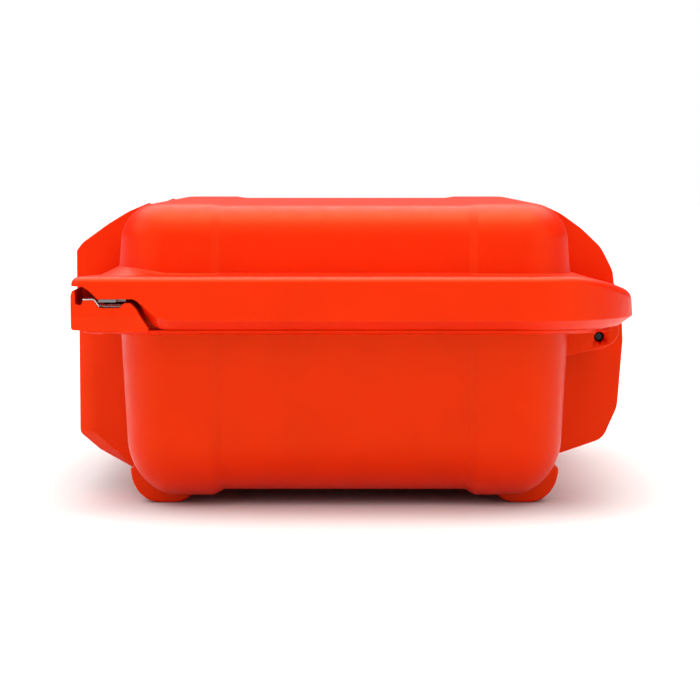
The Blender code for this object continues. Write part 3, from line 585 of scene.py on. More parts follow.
def half_outline(half_x, front_y, back_y, front_r, back_r):
    """The +X half of a plan outline, from the front to the back, always with as many points."""
    bands = []
    for side in (-1, 1):
        band = CENTRE_Y + side * BAND_Y
        bands += [band + BAND_WIDTH * (i / BAND_STEPS - 0.5) for i in range(BAND_STEPS + 1)]
    start = half_x - front_r
    room = len(FRONT_X)
    points = [(min(x, start - 0.5 * (room - i)), front_y) for i, x in enumerate(FRONT_X)]
    points += arc(start, front_y + front_r, front_r, -90, 0, CORNER_STEPS)
    points += [(half_x, y) for y in bands]
    points += arc(half_x - back_r, back_y - back_r, back_r, 0, 90, CORNER_STEPS)
    return points


def ring(plan, z, sink_x=0.0, sink_z=0.0, drop=None):
    points = []
    for x, y in plan:
        share = sink_share(y)
        points.append((x - share * sink_x, y, z + share * sink_z - (drop(x, y) if drop else 0.0)))
    return points


def body_plan(inset):
    radius = max(1.5, BODY_CORNER - inset)
    half_y = BODY_HALF_WIDTH - inset
    return half_outline(BODY_HALF_LENGTH - inset, CENTRE_Y - half_y, CENTRE_Y + half_y, radius, radius)


def rim_plan(inset, back_gap=0.0):
    front_r = max(1.2, RIM_FRONT_CORNER - inset * 0.25)
    back_r = RIM_BACK_CORNER - inset
    back_y = RIM_BACK_Y - inset - back_gap
    return half_outline(HALF_LENGTH - inset, RIM_FRONT_Y + inset, back_y, front_r, back_r)


def mirrored(rings):
    """The points of half rings, each closed by its mirror image on the -X side."""
    verts = []
    for points in rings:
        verts += points + [(-x, y, z) for x, y, z in reversed(points)]
    return verts


def ring_loft(name, rings, mat):
    """A solid through half rings mirrored to -X, closed by strips along X at both ends."""
    half = len(rings[0])
    size = 2 * half
    faces = strips(size, len(rings))
    edge = len(FRONT_X) + 2
    for start in (0, (len(rings) - 1) * size):
        front = list(range(start, start + edge))
        faces.append(front + [2 * start + size - 1 - i for i in reversed(front)])
        for i in range(edge - 1, half - 1):
            faces.append([start + i, start + i + 1, start + size - 2 - i, start + size - 1 - i])
    return make(name, mirrored(rings), faces, mat)


def front_slope(y):
    """How high the slope of the rim beside the latch is."""
    return FRONT_SLOPE_TOP_Z - FRONT_SLOPE * (CENTRE_Y - BODY_HALF_WIDTH - y)


def rim_drop(x, y):
    """How far the top of the rim falls away at the back, and at the front beside the latch."""
    back = 6.8 * (max(0.0, y - 75.0) / 26.0) ** 2
    share = eased(abs(x), 58.6, 62.2) * (1 - eased(abs(x), 102.0, 122.0))
    return back + share * max(0.0, LID_RIM_Z - front_slope(y))


def root_ring(t):
    """A ring of the fillet between rim and wall, t from 0 to 1, which is a ramp beside the latch."""
    points = []
    round_off = 0.6
    for i, (x, y) in enumerate(body_plan(0.0)):
        ramp = eased(abs(x), 58.6, 62.2) * eased(-y, 62.0, 80.0)
        level = LID_RIM_Z - rim_drop(0.0, y)
        low = blend_point((-round_off, level), (-6.7, 83.7), ramp)
        middle = blend_point((0.06, level), (-2.4, 85.5), ramp)
        high = blend_point((0.06, level + round_off), (0.25, 87.0), ramp)
        u, z = blend_point(blend_point(low, middle, t), blend_point(middle, high, t), t)
        px, py = body_plan(u)[i]
        points.append((px - sink_share(py) * SINK_WALL * t, py, z))
    return points


def base_inset(z):
    """How far the base's outer wall stands in from its outline at the parting."""
    lean_z = BELLY_Z + BELLY_HIGH
    if z >= lean_z:
        return BASE_DRAFT * (PARTING_Z - z)
    cosine = max(0.0, 1 - (z - BELLY_Z) / BELLY_HIGH)
    return BASE_DRAFT * (PARTING_Z - lean_z) + BELLY_WIDE * (1 - math.sqrt(max(0.0, 1 - cosine * cosine)))


def lid_inset(z):
    round_z = TOP_Z - LID_ROUND
    if z <= round_z:
        return LID_DRAFT * (z - LID_UNDER_Z) - 0.6
    sine = min(1.0, (z - round_z) / LID_ROUND)
    return LID_DRAFT * (round_z - LID_UNDER_Z) - 0.6 + LID_ROUND * (1 - math.sqrt(1 - sine * sine))


def wall_line(inset_at, side, heights, depth=1.5):
    """(y, z) points depth inside the front (-1) or back (1) wall, at these heights."""
    return [(CENTRE_Y + side * (BODY_HALF_WIDTH - inset_at(z) - depth), z) for z in heights]


# ---- base shell ---------------------------------------------------------------------------------
def base_loft():
    """The base as one thin wall: belly, outer wall, flange, bead, inner wall and floor."""
    rings = []
    steps = 16
    lean_z = BELLY_Z + BELLY_HIGH
    for i in range(steps + 1):
        turn = math.radians(90 * i / steps)
        inset = BASE_DRAFT * (PARTING_Z - lean_z) + BELLY_WIDE * (1 - math.sin(turn))
        sink = SINK_WALL + (SINK_BELLY - SINK_WALL) * math.cos(turn)
        z = BELLY_Z + BELLY_HIGH * (1 - math.cos(turn))
        rings.append(ring(body_plan(inset), z, sink * math.sin(turn), sink * math.cos(turn)))
    under = PARTING_Z - FLANGE_WALL
    root = filleted([(base_inset(60.0), 60.0, 0), (base_inset(under), under, 1.6), (-4.0, under, 0)])
    rings += [ring(body_plan(u), z, SINK_WALL * (1 - max(0.0, -u) / 4.0)) for u, z in root[:-1]]
    inner = FLANGE_INSET + FLANGE_WALL
    back_grow = -0.7
    ledge_back = 4.6
    hang = filleted([(inner + 3.0, under, 0), (inner, under, 1.0), (inner, FLANGE_BOTTOM_Z, 0)])
    rings += [ring(rim_plan(u, back_grow), z) for u, z in hang[1:]]
    rings.append(ring(rim_plan(FLANGE_INSET), FLANGE_BOTTOM_Z))
    ledge = [(LEDGE_INSET + 0.25, LEDGE_LOW_Z), (LEDGE_INSET, LEDGE_LOW_Z + 0.2),
             (LEDGE_INSET, LEDGE_HIGH_Z - 0.15), (LEDGE_INSET + 0.15, LEDGE_HIGH_Z)]
    rings += [ring(rim_plan(u, ledge_back), z) for u, z in ledge]
    lip = filleted([(FLANGE_INSET - 3.0, LEDGE_HIGH_Z, 0), (FLANGE_INSET, LEDGE_HIGH_Z, 0.4),
                    (FLANGE_INSET, PARTING_Z, 0.7), (FLANGE_INSET + 4.0, PARTING_Z, 0)])
    rings += [ring(rim_plan(u, back_grow), z) for u, z in lip[1:-1]]
    bead = filleted([(-2.0, PARTING_Z, 0), (0.6, PARTING_Z, 0.3), (0.6, PARTING_Z + 1.2, 0.5),
                     (1.8, PARTING_Z + 1.2, 0.5), (1.8, PARTING_Z, 0.3), (WALL, PARTING_Z, 0.5),
                     (WALL + 0.5, PARTING_Z - 10.0, 0)])
    rings += [ring(body_plan(u), z) for u, z in bead[1:-1]]
    wide = BELLY_WIDE - WALL
    high = lean_z - FLOOR_Z
    for i in range(12, -1, -1):
        turn = math.radians(90 * i / 12)
        inset = BASE_DRAFT * (PARTING_Z - lean_z) + WALL + 1.0 + wide * (1 - math.sin(turn))
        rings.append(ring(body_plan(inset), FLOOR_Z + high * (1 - math.cos(turn))))
    return ring_loft("base_shell_moulding", rings, ORANGE)


def front_fin(side):
    """A fin beside the latch on the base. Its front edge slopes back on its outer side."""
    inside = wall_line(base_inset, -1, spaced(64.9, 9.6, 16))
    outside = filleted([(-101.8, 34.7, 0), (-101.8, 22.7, 3.0), (-94.3, 16.3, 6.0), (-82.3, 9.9, 2.0),
                        (-70.3, 6.9, 0)], 5)[1:-1]
    full = inside + outside[::-1] + [(-101.8, 64.9)]
    slope = 6.2
    drawn_in = [(y + slope * clamped((-82.0 - y) / 6.0), z) for y, z in full]
    x0, x1 = FRONT_FIN_X
    sections = [(side * x0, full), (side * (x0 + 1.4), full), (side * x1, drawn_in)]
    return loft_x("fin", sections, ORANGE, 0.45)


def back_fin(side):
    """An inner hinge lug, which runs down the back as a fin."""
    inside = wall_line(base_inset, 1, spaced(16.0, 72.0, 16))
    head = arc(HINGE_Y - 3.0, HINGE_Z, 14.0, 15, 72, 10)
    outer = filleted([(79.0, 15.6, 0), (79.9, 15.9, 0.6), (94.7, 21.0, 7.0), (100.0, 33.0, 12.0),
                      (101.9, 58.0, 6.0), (HINGE_Y + 10.5, 66.0, 0)], 5)[:-1]
    outline = inside[::-1] + outer + head
    return prism_x("fin", outline, *sides(*BACK_FIN_X, side), ORANGE, 0.45)


def hinge_bore(x0, x1):
    """What the hole for a hinge pin takes away between x0 and x1."""
    ends = [(x0 - 1, HINGE_HOLE_R), (x1 + 1, HINGE_HOLE_R)]
    return turned("hole", "X", (0, HINGE_Y, HINGE_Z), ends, ORANGE, 32)


def outer_lug(side):
    """An outer hinge lug, with the hole that its pin goes in by."""
    nose = arc(91.8, HINGE_Z + 2.6, 6.5, -62, 0, 10)
    outline = [(77.5, 53.2), (79.0, 53.6), (82.6, 54.4), (88.0, 55.6), (91.4, 56.4)] + nose
    outline += [(98.3, 70.0), (95.0, 73.8), (77.5, 73.8)]
    x0, x1 = sides(*OUTER_LUG_X, side)
    return cut(prism_x("lug", outline, x0, x1, ORANGE, 0.5), hinge_bore(x0, x1))


def foot(side, sign):
    """A moulded foot under the round edge of the base."""
    outline = []
    for turn in [math.radians(a) for a in range(0, 91, 9)]:
        outline.append((-80.4 + 10.4 * (1 - math.cos(turn)), 12.5 - 12.5 * math.sin(turn)))
    outline += filleted([(-69.0, 0.0, 0), (-61.5, 0.0, 8.0), (-53.0, 6.4, 0)], 6)[1:]
    outline += [(-58.0, 6.3), (-66.0, 7.4), (-72.0, 10.0), (-77.0, 14.5)]
    if sign > 0:
        outline = [(2 * CENTRE_Y - y, z) for y, z in outline]
    return prism_x("foot", outline, *sides(62.5, 87.0, side), ORANGE, 0.8)


def latch_ear(side):
    """An ear that holds the claw's pin."""
    cy, cz = CLAW_AXIS
    outline = [(-80.2, 40.0)] + arc(cy, cz, 3.3, 230, 100, 12) + [(-84.5, 62.0), (-81.0, 62.0)]
    return prism_x("ear", outline, *sides(*LATCH_EAR_X, side), ORANGE, 0.4)


def corner_tab(side):
    """The solid front corner of the flange, with its padlock hole and the seat of its plate."""
    y0, y1 = TAB_Y
    slope = [(y1, 66.8, 0.8), (-72.3, 70.3, 4.0), (-74.0, 73.4, 1.0), (-76.0, 75.5, 0.8),
             (-78.4, 75.5, 0.6)]
    seat = [(-79.7, SEAT_Z, 0.9), (-86.7, SEAT_Z, 0.8), (-88.9, PAD_Z, 0.5), (-92.5, PAD_Z, 0.3)]
    post = [(-93.0, 75.0, 0.5), (-94.2, 74.8, 0.5), (-95.2, 75.4, 0.7), (-95.3, 80.2, 0.2),
            (-96.2, 79.7, 0.6), (y0, 78.2, 1.0)]
    outline = closed_fillet([(y0, 66.1, 1.0), (y1, 65.3, 0.3)] + slope + seat + post, 4)
    x0, x1 = sides(TAB_FRONT_X, HALF_LENGTH, side)
    tab = prism_x("tab", outline, x0, x1, ORANGE)
    wedge = [(HALF_LENGTH + 1.0, 70.9), (HALF_LENGTH - 0.02, 70.9), (HALF_LENGTH - 0.3, 68.0),
             (HALF_LENGTH - 1.0, 64.0), (HALF_LENGTH + 1.0, 64.0)]
    cut(tab, prism_y("wedge", [(side * x, z) for x, z in wedge], -100.0, -60.0, ORANGE))
    inner_corner = (side * (BODY_HALF_LENGTH - BODY_CORNER), CENTRE_Y - BODY_HALF_WIDTH + BODY_CORNER, 0)
    core_r = BODY_CORNER - 1.3
    cut(tab, turned("core", "Z", inner_corner, [(50.0, core_r), (90.0, core_r)], ORANGE))
    cut(tab, slab("core", (side * 110.0 - 20, -75.0, 50), (side * 90.0 + 20, -60.0, 90), ORANGE))
    cut(tab, padlock_hole(side, 55.0, 90.0))
    return bevelled(tab, 0.35, 2, 40.0)


def padlock_hole(side, z0, z1):
    ends = [(z0, PADLOCK_R), (z1, PADLOCK_R)]
    return turned("hole", "Z", (side * PADLOCK_X, PADLOCK_Y, 0), ends, STEEL, 40)


def flange_ribs():
    """Upright webs that stiffen the flange's open underside."""
    ribs = []
    z0, z1 = FLANGE_BOTTOM_Z + 1.0, PARTING_Z - FLANGE_WALL + 0.5
    for side in (1, -1):
        for y in (-56.0, -32.0, -8.0, 16.0, 40.0):
            x0, x1 = sides(109.2, HALF_LENGTH - FLANGE_INSET - FLANGE_WALL + 0.6, side)
            ribs.append(slab("rib", (x0, y - 0.9, z0), (x1, y + 0.9, z1), ORANGE, 0.2))
        for x in (22.0, 44.0):
            low = (side * x - 0.9, CENTRE_Y + BODY_HALF_WIDTH - 1.5, z0)
            ribs.append(slab("rib", low, (side * x + 0.9, 92.4, z1), ORANGE, 0.2))
    return ribs


def build_base():
    shell = base_loft()
    cut(shell, slab("bay", (-LATCH_BAY_X, -110, 63.0), (LATCH_BAY_X, LATCH_BAY_Y + 0.3, 80.0), ORANGE))
    for side in (1, -1):
        x0, x1 = sides(BACK_FIN_X[1], OUTER_LUG_X[0], side)
        cut(shell, slab("notch", (x0, 84.9, 48.0), (x1, 110.0, 80.0), ORANGE))
        x2, x3 = sides(TAB_FRONT_X + 0.5, HALF_LENGTH + 2, side)
        cut(shell, slab("room", (x2, -99.0, 66.2), (x3, -71.5, 80.0), ORANGE))
        cut(shell, padlock_hole(side, 55.0, 80.0))
    smooth(shell, 38.0)
    features = []
    for side in (1, -1):
        features += [front_fin(side), back_fin(side), outer_lug(side), corner_tab(side), latch_ear(side)]
        features += [foot(side, -1), foot(side, 1)]
    features += flange_ribs()
    boss = turned("boss", "Y", (-86.0, 0, 46.0), [(-83.5, 10.4), (-83.2, 11.0), (-80.5, 11.0)], ORANGE)
    merged(shell, boss, *features)
    return piece(weighted(shell), "base", "orange_plastic", "base_shell")


# ---- lid shell ----------------------------------------------------------------------------------
def lid_loft():
    """The lid as one thin wall: ceiling, inner wall, seal groove, skirt, rim, wall and top."""
    round_z = TOP_Z - LID_ROUND
    rings = []
    ceiling_round = LID_ROUND - WALL
    for i in range(12, -1, -1):
        turn = math.radians(90 * i / 12)
        inset = WALL + 1.4 + ceiling_round * (1 - math.cos(turn))
        rings.append(ring(body_plan(inset), round_z + (CEILING_Z - round_z) * math.sin(turn)))
    under, groove_z = LID_UNDER_Z, LID_UNDER_Z + 4.4
    groove = filleted([(WALL + 1.6, under + 8, 0), (WALL + 1.6, under, 0.5), (2.9, under, 0.3),
                       (2.9, groove_z, 0.4), (-2.8, groove_z, 0.4), (-2.8, under, 0.3), (-5.0, under, 0)], 3)
    rings += [ring(body_plan(u), z) for u, z in groove[1:-1]]
    inner_foot = SKIRT_CHAMFER + 2.2
    skirt = filleted([(SKIRT_WALL + 5, under, 0), (SKIRT_WALL, under, 0.8), (SKIRT_WALL, 70.4, 2.0),
                      (inner_foot, SKIRT_BOTTOM_Z + 0.5, 0.3), (inner_foot, SKIRT_BOTTOM_Z, 0.3),
                      (SKIRT_CHAMFER, SKIRT_BOTTOM_Z, 0.4), (0.0, SKIRT_FACE_Z, 0.6), (0.25, 74.0, 0)], 4)
    rings += [ring(rim_plan(u), z) for u, z in skirt[1:-1]]
    brow = filleted([(0.2, 74.0, 0), (0.45, LID_RIM_Z, 2.6), (6.0, LID_RIM_Z, 0)], 8)
    rings += [ring(rim_plan(u), z, drop=rim_drop) for u, z in brow[1:-1]]
    rings += [root_ring(i / 7) for i in range(8)]
    for i in range(17):
        turn = math.radians(90 * i / 16)
        plan = body_plan(lid_inset(round_z) + LID_ROUND * (1 - math.cos(turn)))
        sink_x, sink_z = SINK_WALL * math.cos(turn), -SINK_TOP * math.sin(turn)
        rings.append(ring(plan, round_z + LID_ROUND * math.sin(turn), sink_x, sink_z))
    return ring_loft("lid_shell_moulding", rings, ORANGE)


def lid_front_fin(side):
    """A fin beside the latch on the lid, from the rim to the top of the lid."""
    brow = filleted([(-102.2, 80.0, 0), (-102.2, 91.4, 2.5), (-99.9, 94.4, 6.0), (-97.7, 96.0, 6.0),
                     (-90.2, 101.4, 20.0), (-82.7, 106.0, 20.0), (-75.2, 109.1, 0)], 4)
    inside = wall_line(lid_inset, -1, spaced(108.2, 84.0, 12))
    under = [(-81.5, 83.2), (-88.0, 83.2), (-93.9, 80.2), (-93.9, 66.2)]
    outline = [(-102.2, 66.2)] + brow[1:] + inside + under
    x0, x1 = sides(FRONT_FIN_X[0], FRONT_FIN_X[1] - 0.4, side)
    return prism_x("fin", outline, x0, x1, ORANGE, 0.4)


def lid_back_fin(side):
    """A fin over a hinge, on the lid."""
    brow = filleted([(98.6, 79.0, 0), (98.0, 84.0, 10.0), (93.6, 92.7, 14.0), (86.1, 99.8, 20.0),
                     (78.6, 105.2, 20.0), (74.0, 107.4, 0)], 4)
    inside = wall_line(lid_inset, 1, spaced(106.6, 84.6, 12))
    outline = [(100.4, 77.0)] + brow + inside + [(78.5, 77.0)]
    return prism_x("fin", outline, *sides(61.0, 65.0, side), ORANGE, 0.4)


def knuckle(side):
    """A hinge knuckle of the lid, with its arm and pin hole."""
    outline = arc(HINGE_Y, HINGE_Z, KNUCKLE_R, 180, 360, 24)
    outline += [(HINGE_Y + KNUCKLE_R, 76.8), (HINGE_Y - KNUCKLE_R, 76.8)]
    x0, x1 = sides(*KNUCKLE_X, side)
    return cut(prism_x("knuckle", outline, x0, x1, ORANGE, 0.4), hinge_bore(x0, x1))


def tab_recess(side):
    """What the skirt gives way to at a front corner, round the base's tab."""
    inner = [(-57.0, 58.0, 0), (-57.0, SKIRT_BOTTOM_Z - 0.1, 0.1), (-62.8, SKIRT_BOTTOM_Z - 0.05, 2.0),
             (-66.4, 66.3, 4.0), (-69.0, 67.9, 3.0), (-71.1, 70.8, 6.0), (-73.7, 75.8, 1.5)]
    outer = [(-57.0, 58.0, 0), (-57.0, SKIRT_FACE_Z - 0.1, 0.1), (-62.9, SKIRT_FACE_Z + 0.2, 2.0),
             (-66.9, 70.7, 5.0), (-69.4, 72.6, 3.0), (-71.4, 74.6, 4.0), (-73.5, 76.0, 1.5)]
    mouth = [(-75.1, LID_SHELF_Z, 1.0), (-87.6, LID_SHELF_Z, 0.8), (-89.2, 78.6, 4.0), (-91.2, 80.4, 3.0),
             (-92.9, 81.3, 1.5), (-110.0, 81.4, 0)]
    bend_x = HALF_LENGTH - SKIRT_CHAMFER + 0.05
    sections = []
    for x, rise in ((TAB_FRONT_X - 0.8, inner), (bend_x, inner), (HALF_LENGTH + 0.2, outer)):
        sections.append((side * x, filleted(rise + mouth, 4) + [(-110.0, 58.0)]))
    return loft_x("recess", sections, ORANGE)


def build_lid():
    shell = lid_loft()
    for back_y, top_z in ((LATCH_BAY_Y, 90.0), (LATCH_BAY_Y + 1.4, 71.0)):
        cut(shell, slab("bay", (-LATCH_BAY_X, -110.0, 60.0), (LATCH_BAY_X, back_y, top_z), ORANGE))
    for side in (1, -1):
        cut(shell, tab_recess(side))
        cut(shell, padlock_hole(side, 60.0, 90.0))
        x0, x1 = sides(*BACK_NOTCH_X, side)
        cut(shell, slab("notch", (x0, 80.0, 60.0), (x1, 110.0, LID_UNDER_Z), ORANGE))
    smooth(shell, 38.0)
    features = []
    for side in (1, -1):
        features += [lid_front_fin(side), lid_back_fin(side), knuckle(side)]
    ridge = [(-90.8, 83.5), (-90.8, 84.8), (-90.2, 85.1), (-89.3, 85.1), (-88.8, 84.7), (-88.8, 83.5)]
    features.append(prism_x("ridge", ridge, -48.0, 48.0, ORANGE, 0.15))
    merged(shell, *features)
    return piece(weighted(shell), "lid", "orange_plastic", "lid_shell")


def build_gasket():
    """The seal: a rounded rubber band in the lid's groove."""
    section = closed_fillet([(2.5, 77.2, 1.2), (2.5, 80.2, 0.5), (-2.4, 80.2, 0.5), (-2.4, 77.2, 1.2)], 5)
    rings = [ring(body_plan(u), z) for u, z in section]
    faces = strips(2 * len(rings[0]), len(rings), True)
    return piece(make("seal_band", mirrored(rings), faces, RUBBER), "lid", "seal_rubber", "lid_gasket")


# ---- steel at the padlock corners and pins ------------------------------------------------------
def plate(name, outline, side, nose_y, finish):
    """A steel plate with its padlock hole. Behind nose_y it ends short of the tab."""
    made = prism_x(name, outline, *sides(PLATE_X[0], PLATE_X[2], side), finish)
    x0, x1 = sides(PLATE_X[1], PLATE_X[2] + 1.0, side)
    cut(made, slab("step", (x0, nose_y, SEAT_Z - 2.0), (x1, -70.0, LID_SHELF_Z + 2.0), STEEL))
    cut(made, padlock_hole(side, SEAT_Z - 2.0, LID_SHELF_Z + 2.0))
    return made


def build_plates():
    low, high = SEAT_Z + PLATE_GAP, PAD_Z + PLATE_GAP
    thick = 0.4
    under = [(-92.6, high, 0), (-88.7, high, 1.0), (-86.8, low, 1.0), (-79.9, low, 0)]
    over = [(-79.9, low + thick, 0), (-86.5, low + thick, 1.0), (-88.5, high + thick, 1.0),
            (-92.6, high + thick, 0)]
    bent = closed_fillet(under + over, 4)
    bottom, top = LID_SHELF_Z - 1.2, LID_SHELF_Z - PLATE_GAP
    teeth = [(y, bottom + 0.28 * (i % 2)) for i, y in enumerate(spaced(-78.0, -87.1, 27))]
    serrated = [(-87.1, top), (-78.0, top)] + teeth
    for side, word in ((1, "right"), (-1, "left")):
        base_plate = bevelled(plate("base_corner_plate_" + word, bent, side, -86.9, STEEL), 0.08, 2)
        piece(weighted(base_plate), "base", "steel", "base_hasp_plate_" + word)
        # the lid plate takes the darker steel, painted shade for the gap it sits in
        lid_plate = plate("lid_corner_plate_" + word, serrated, side, -81.0, SHADED_PLATE_STEEL)
        smooth(lid_plate, 20.0)
        piece(lid_plate, "lid", "steel", "lid_hasp_plate_" + word)


def build_pins():
    """The round pins, with chamfered ends, where the CAD pins are."""
    owners = {"hinge_pin_left": "base", "hinge_pin_right": "base", "claw_pin": "base", "lever_pin": "claw"}
    for name, body in owners.items():
        low, high = node_box(name)
        if name.startswith("hinge"):
            low.x, high.x = (low.x, high.x - 2.2) if low.x > 0 else (low.x + 2.2, high.x)
        centre = (0, *middle(low, high)[1:])
        radius = (high.z - low.z) / 2
        soft = radius * 0.25
        profile = [(low.x, radius - soft), (low.x + soft, radius), (high.x - soft, radius),
                   (high.x, radius - soft)]
        # hinge pins end 2.2 mm short in their holes (real recess) and are painted near black as shade in the
        # holes
        finish = SHADED_PIN_STEEL if name.startswith("hinge") else STEEL
        piece(turned(name + "_round", "X", centre, profile, finish, 40), body, "steel", name)


# ---- latch --------------------------------------------------------------------------------------
def build_claw():
    """The claw: a barrel on its pin, a ribbed plate up the front, and a nose over the lid's rim."""
    cy, cz = CLAW_AXIS
    half = 49.6
    barrel = arc(cy, cz, 2.9, 155, 375, 24)
    plate_side = filleted([(-91.3, 52.0, 0), (-91.3, 84.0, 0.4), (-90.9, 85.5, 0.3), (-88.6, 85.5, 0.2),
                           (-88.2, 85.1, 0.1), (-86.6, 85.2, 0.3), (-86.2, 86.2, 0.5), (-87.4, 88.6, 1.6),
                           (-90.0, 90.0, 2.0), (-93.2, 89.4, 2.4), (-94.9, 86.5, 3.0), (-94.9, 54.0, 0)], 5)
    claw = prism_x("claw", barrel + plate_side, -half, half, BLACK, 0.5)
    ly, lz = LEVER_AXIS
    ear = [(-94.0, 73.0), (-94.0, 86.0)] + arc(ly, lz, 2.9, 80, 250, 18)
    parts = [prism_x("ear", ear, *sides(43.8, half, side), BLACK, 0.4) for side in (1, -1)]
    post = [(-94.0, 57.6), (-94.0, 64.4), (-98.4, 64.4), (-98.4, 57.6)]
    parts.append(prism_x("keeper", post, 17.0, 19.0, BLACK, 0.2))
    hook = [(-97.4, 57.6), (-97.4, 64.4), (-98.4, 64.4), (-98.4, 57.6)]
    parts.append(prism_x("hook", hook, 12.6, 18.0, BLACK, 0.2))
    for x in (-36.0, -24.0, 24.0, 36.0):
        parts.append(slab("rib", (x - 0.8, -91.6, 56.0), (x + 0.8, -89.4, 63.0), BLACK, 0.2))
    merged(claw, *parts)
    return piece(weighted(claw), "claw", "black_plastic", "latch_claw")


def build_lever():
    """The lever: a dished plate that hangs from its pin, with a ribbed finger lip."""
    ly, lz = LEVER_AXIS
    half = 43.4
    outline = arc(ly, lz, 2.6, 0, 180, 18)
    outline += filleted([(-100.9, 79.0, 0), (-100.9, 75.0, 1.5), (-100.0, 73.0, 1.5), (-100.0, 45.0, 2.0),
                         (-102.0, 40.4, 1.0), (-101.7, 38.3, 0.6), (-99.6, 38.2, 1.2), (-96.5, 43.0, 2.0),
                         (-96.5, 75.0, 0)], 5)[1:]
    lever = prism_x("lever", outline, -half, half, BLACK, 0.5)
    cut(lever, slab("window", (-20.0, -104.0, 56.0), (20.6, -90.0, 66.0), BLACK))
    for x in (-33.0, 33.0):
        dish = rounded_rectangle(x - 7.5, -104.0, x + 7.5, -99.1, 1.0, 4)
        cut(lever, prism_z("dish", dish, 47.0, 71.0, BLACK, 0.8))
    ribs = []
    for x in spaced(-35.0, 35.0, 15):
        ribs.append(slab("rib", (x - 0.7, -100.5, 46.2), (x + 0.7, -99.8, 53.4), BLACK, 0.25))
    smooth(lever, 35.0)
    merged(lever, *ribs)
    return piece(weighted(lever), "lever", "black_plastic", "latch_lever")


def build_lock():
    """The slide lock: a thumb piece with grip ribs, its web and its tongue."""
    face = rounded_rectangle(-15.0, 54.6, 10.0, 67.4, 2.2, 6)
    lock = bevelled(prism_y("slide_lock", face, -101.5, -100.4, GREY), 0.35)
    parts = [slab("web", (-11.0, -100.6, 56.6), (2.6, -96.6, 65.4), GREY, 0.2),
             slab("tongue", (-11.0, -97.0, 56.6), (8.0, -95.5, 65.4), GREY, 0.2)]
    for i in range(5):
        x = -11.5 + 4.3 * i
        parts.append(slab("rib", (x, -102.1, 56.4), (x + 1.6, -101.2, 65.6), GREY, 0.3))
    merged(lock, *parts)
    return piece(weighted(lock), "slide_lock", "grey_plastic", "latch_slide_lock")


# ---- valve --------------------------------------------------------------------------------------
def build_valve():
    """The pressure valve: knurled body outside, seal, and the nut inside the wall."""
    x, z = -86.0, 46.0
    rim = knurled(x, z, 96, (10.3, 10.3, 9.9, 9.9))
    body = prism_y("valve_knob", rim, -87.3, -85.1, BLACK, 20.0)
    crown = turned("crown", "Y", (x, 0, z), [(-88.0, 7.0), (-87.8, 7.6), (-87.1, 9.0), (-86.5, 9.0)], BLACK)
    cut(crown, turned("vent", "Y", (x, 0, z), [(-90.0, 2.0), (-87.2, 2.0)], BLACK, 32))
    stem = turned("stem", "Y", (x, 0, z), [(-86.0, 5.6), (-74.2, 5.6), (-73.7, 5.1)], BLACK)
    merged(body, crown, stem)
    piece(weighted(body), "base", "black_plastic", "valve_body")
    band = closed_fillet([(-84.8, 6.2, 0.3), (-84.8, 9.8, 0.4), (-83.8, 9.8, 0.4), (-83.8, 6.2, 0.3)], 3)
    seal = turned("valve_ring", "Y", (x, 0, z), band, RUBBER, 64, True)
    piece(seal, "base", "seal_rubber", "valve_seal")
    nut = bevelled(turned("valve_hex", "Y", (x, 0, z), [(-77.1, 9.0), (-74.2, 9.0)], BLACK, 6), 0.4)
    cut(nut, turned("bore", "Y", (x, 0, z), [(-80.0, 6.0), (-70.0, 6.0)], BLACK, 48))
    piece(weighted(nut), "base", "black_plastic", "valve_nut")


# ---- foam and webbing ---------------------------------------------------------------------------
POCKETS = {
    "rolls": (-97.0, 2.0, -8.0, 66.0),
    "tape": (-4.0, 6.0, 56.0, 66.0),
    "bottle": (62.0, 2.0, 97.0, 66.0),
    "dressings": (-97.0, -68.0, -18.0, -4.0),
    "plasters": (-12.0, -68.0, 47.0, -4.0),
    "blanket": (53.0, -68.0, 97.0, -4.0),
}
POCKET_Z = 21.0


def build_foam():
    low, high = node_box("foam_insert")
    block = rounded_rectangle(low.x, low.y, high.x, high.y, 14.0)
    block = prism_z("foam_block", block, 20.2, high.z, FOAM)
    foot_block = rounded_rectangle(-84.0, low.y + 15, 84.0, high.y - 15, 6.0)
    foot_block = prism_z("foot", foot_block, low.z, 20.6, FOAM, 1.5)
    for x0, y0, x1, y1 in POCKETS.values():
        cut(block, prism_z("pocket", rounded_rectangle(x0, y0, x1, y1, 4.0), POCKET_Z, 60.0, FOAM))
    bevelled(block, 1.1, 4, 50.0)
    merged(block, foot_block)
    piece(weighted(block), "base", "foam", "foam_insert")

    low, high = node_box("lid_pad")
    pad = rounded_rectangle(low.x, low.y, high.x, high.y, 12.0)
    pad = prism_z("lid_foam", pad, low.z, high.z, FOAM, 2.4, 5)
    piece(weighted(pad), "lid", "foam", "lid_pad")


def build_loops():
    """Elastic straps sewn to the pad, each arched over a tool."""
    edge = 7.0
    thick = 0.9
    for index, half in enumerate((8.5, 8.5, 14.45), 1):
        name = "elastic_loop_%d" % index
        low, high = node_box(name)
        y = (low.y + high.y) / 2
        top, under = high.z, low.z
        out = [(y - half - edge, top, 0), (y - half - edge, top - thick, 0.3), (y - half, top - thick, 1.0),
               (y - half + 0.1, under, 1.6), (y + half - 0.1, under, 1.6), (y + half, top - thick, 1.0),
               (y + half + edge, top - thick, 0.3), (y + half + edge, top, 0)]
        back = [(y + half - thick, top, 0.5), (y + half - thick, under + thick, 0.9),
                (y - half + thick, under + thick, 0.9), (y - half + thick, top, 0.5)]
        outline = closed_fillet(out + back, 4)
        strap = prism_x(name + "_webbing", outline, low.x, high.x, WEBBING, 0.15, 2)
        piece(weighted(strap), "lid", "webbing", name)


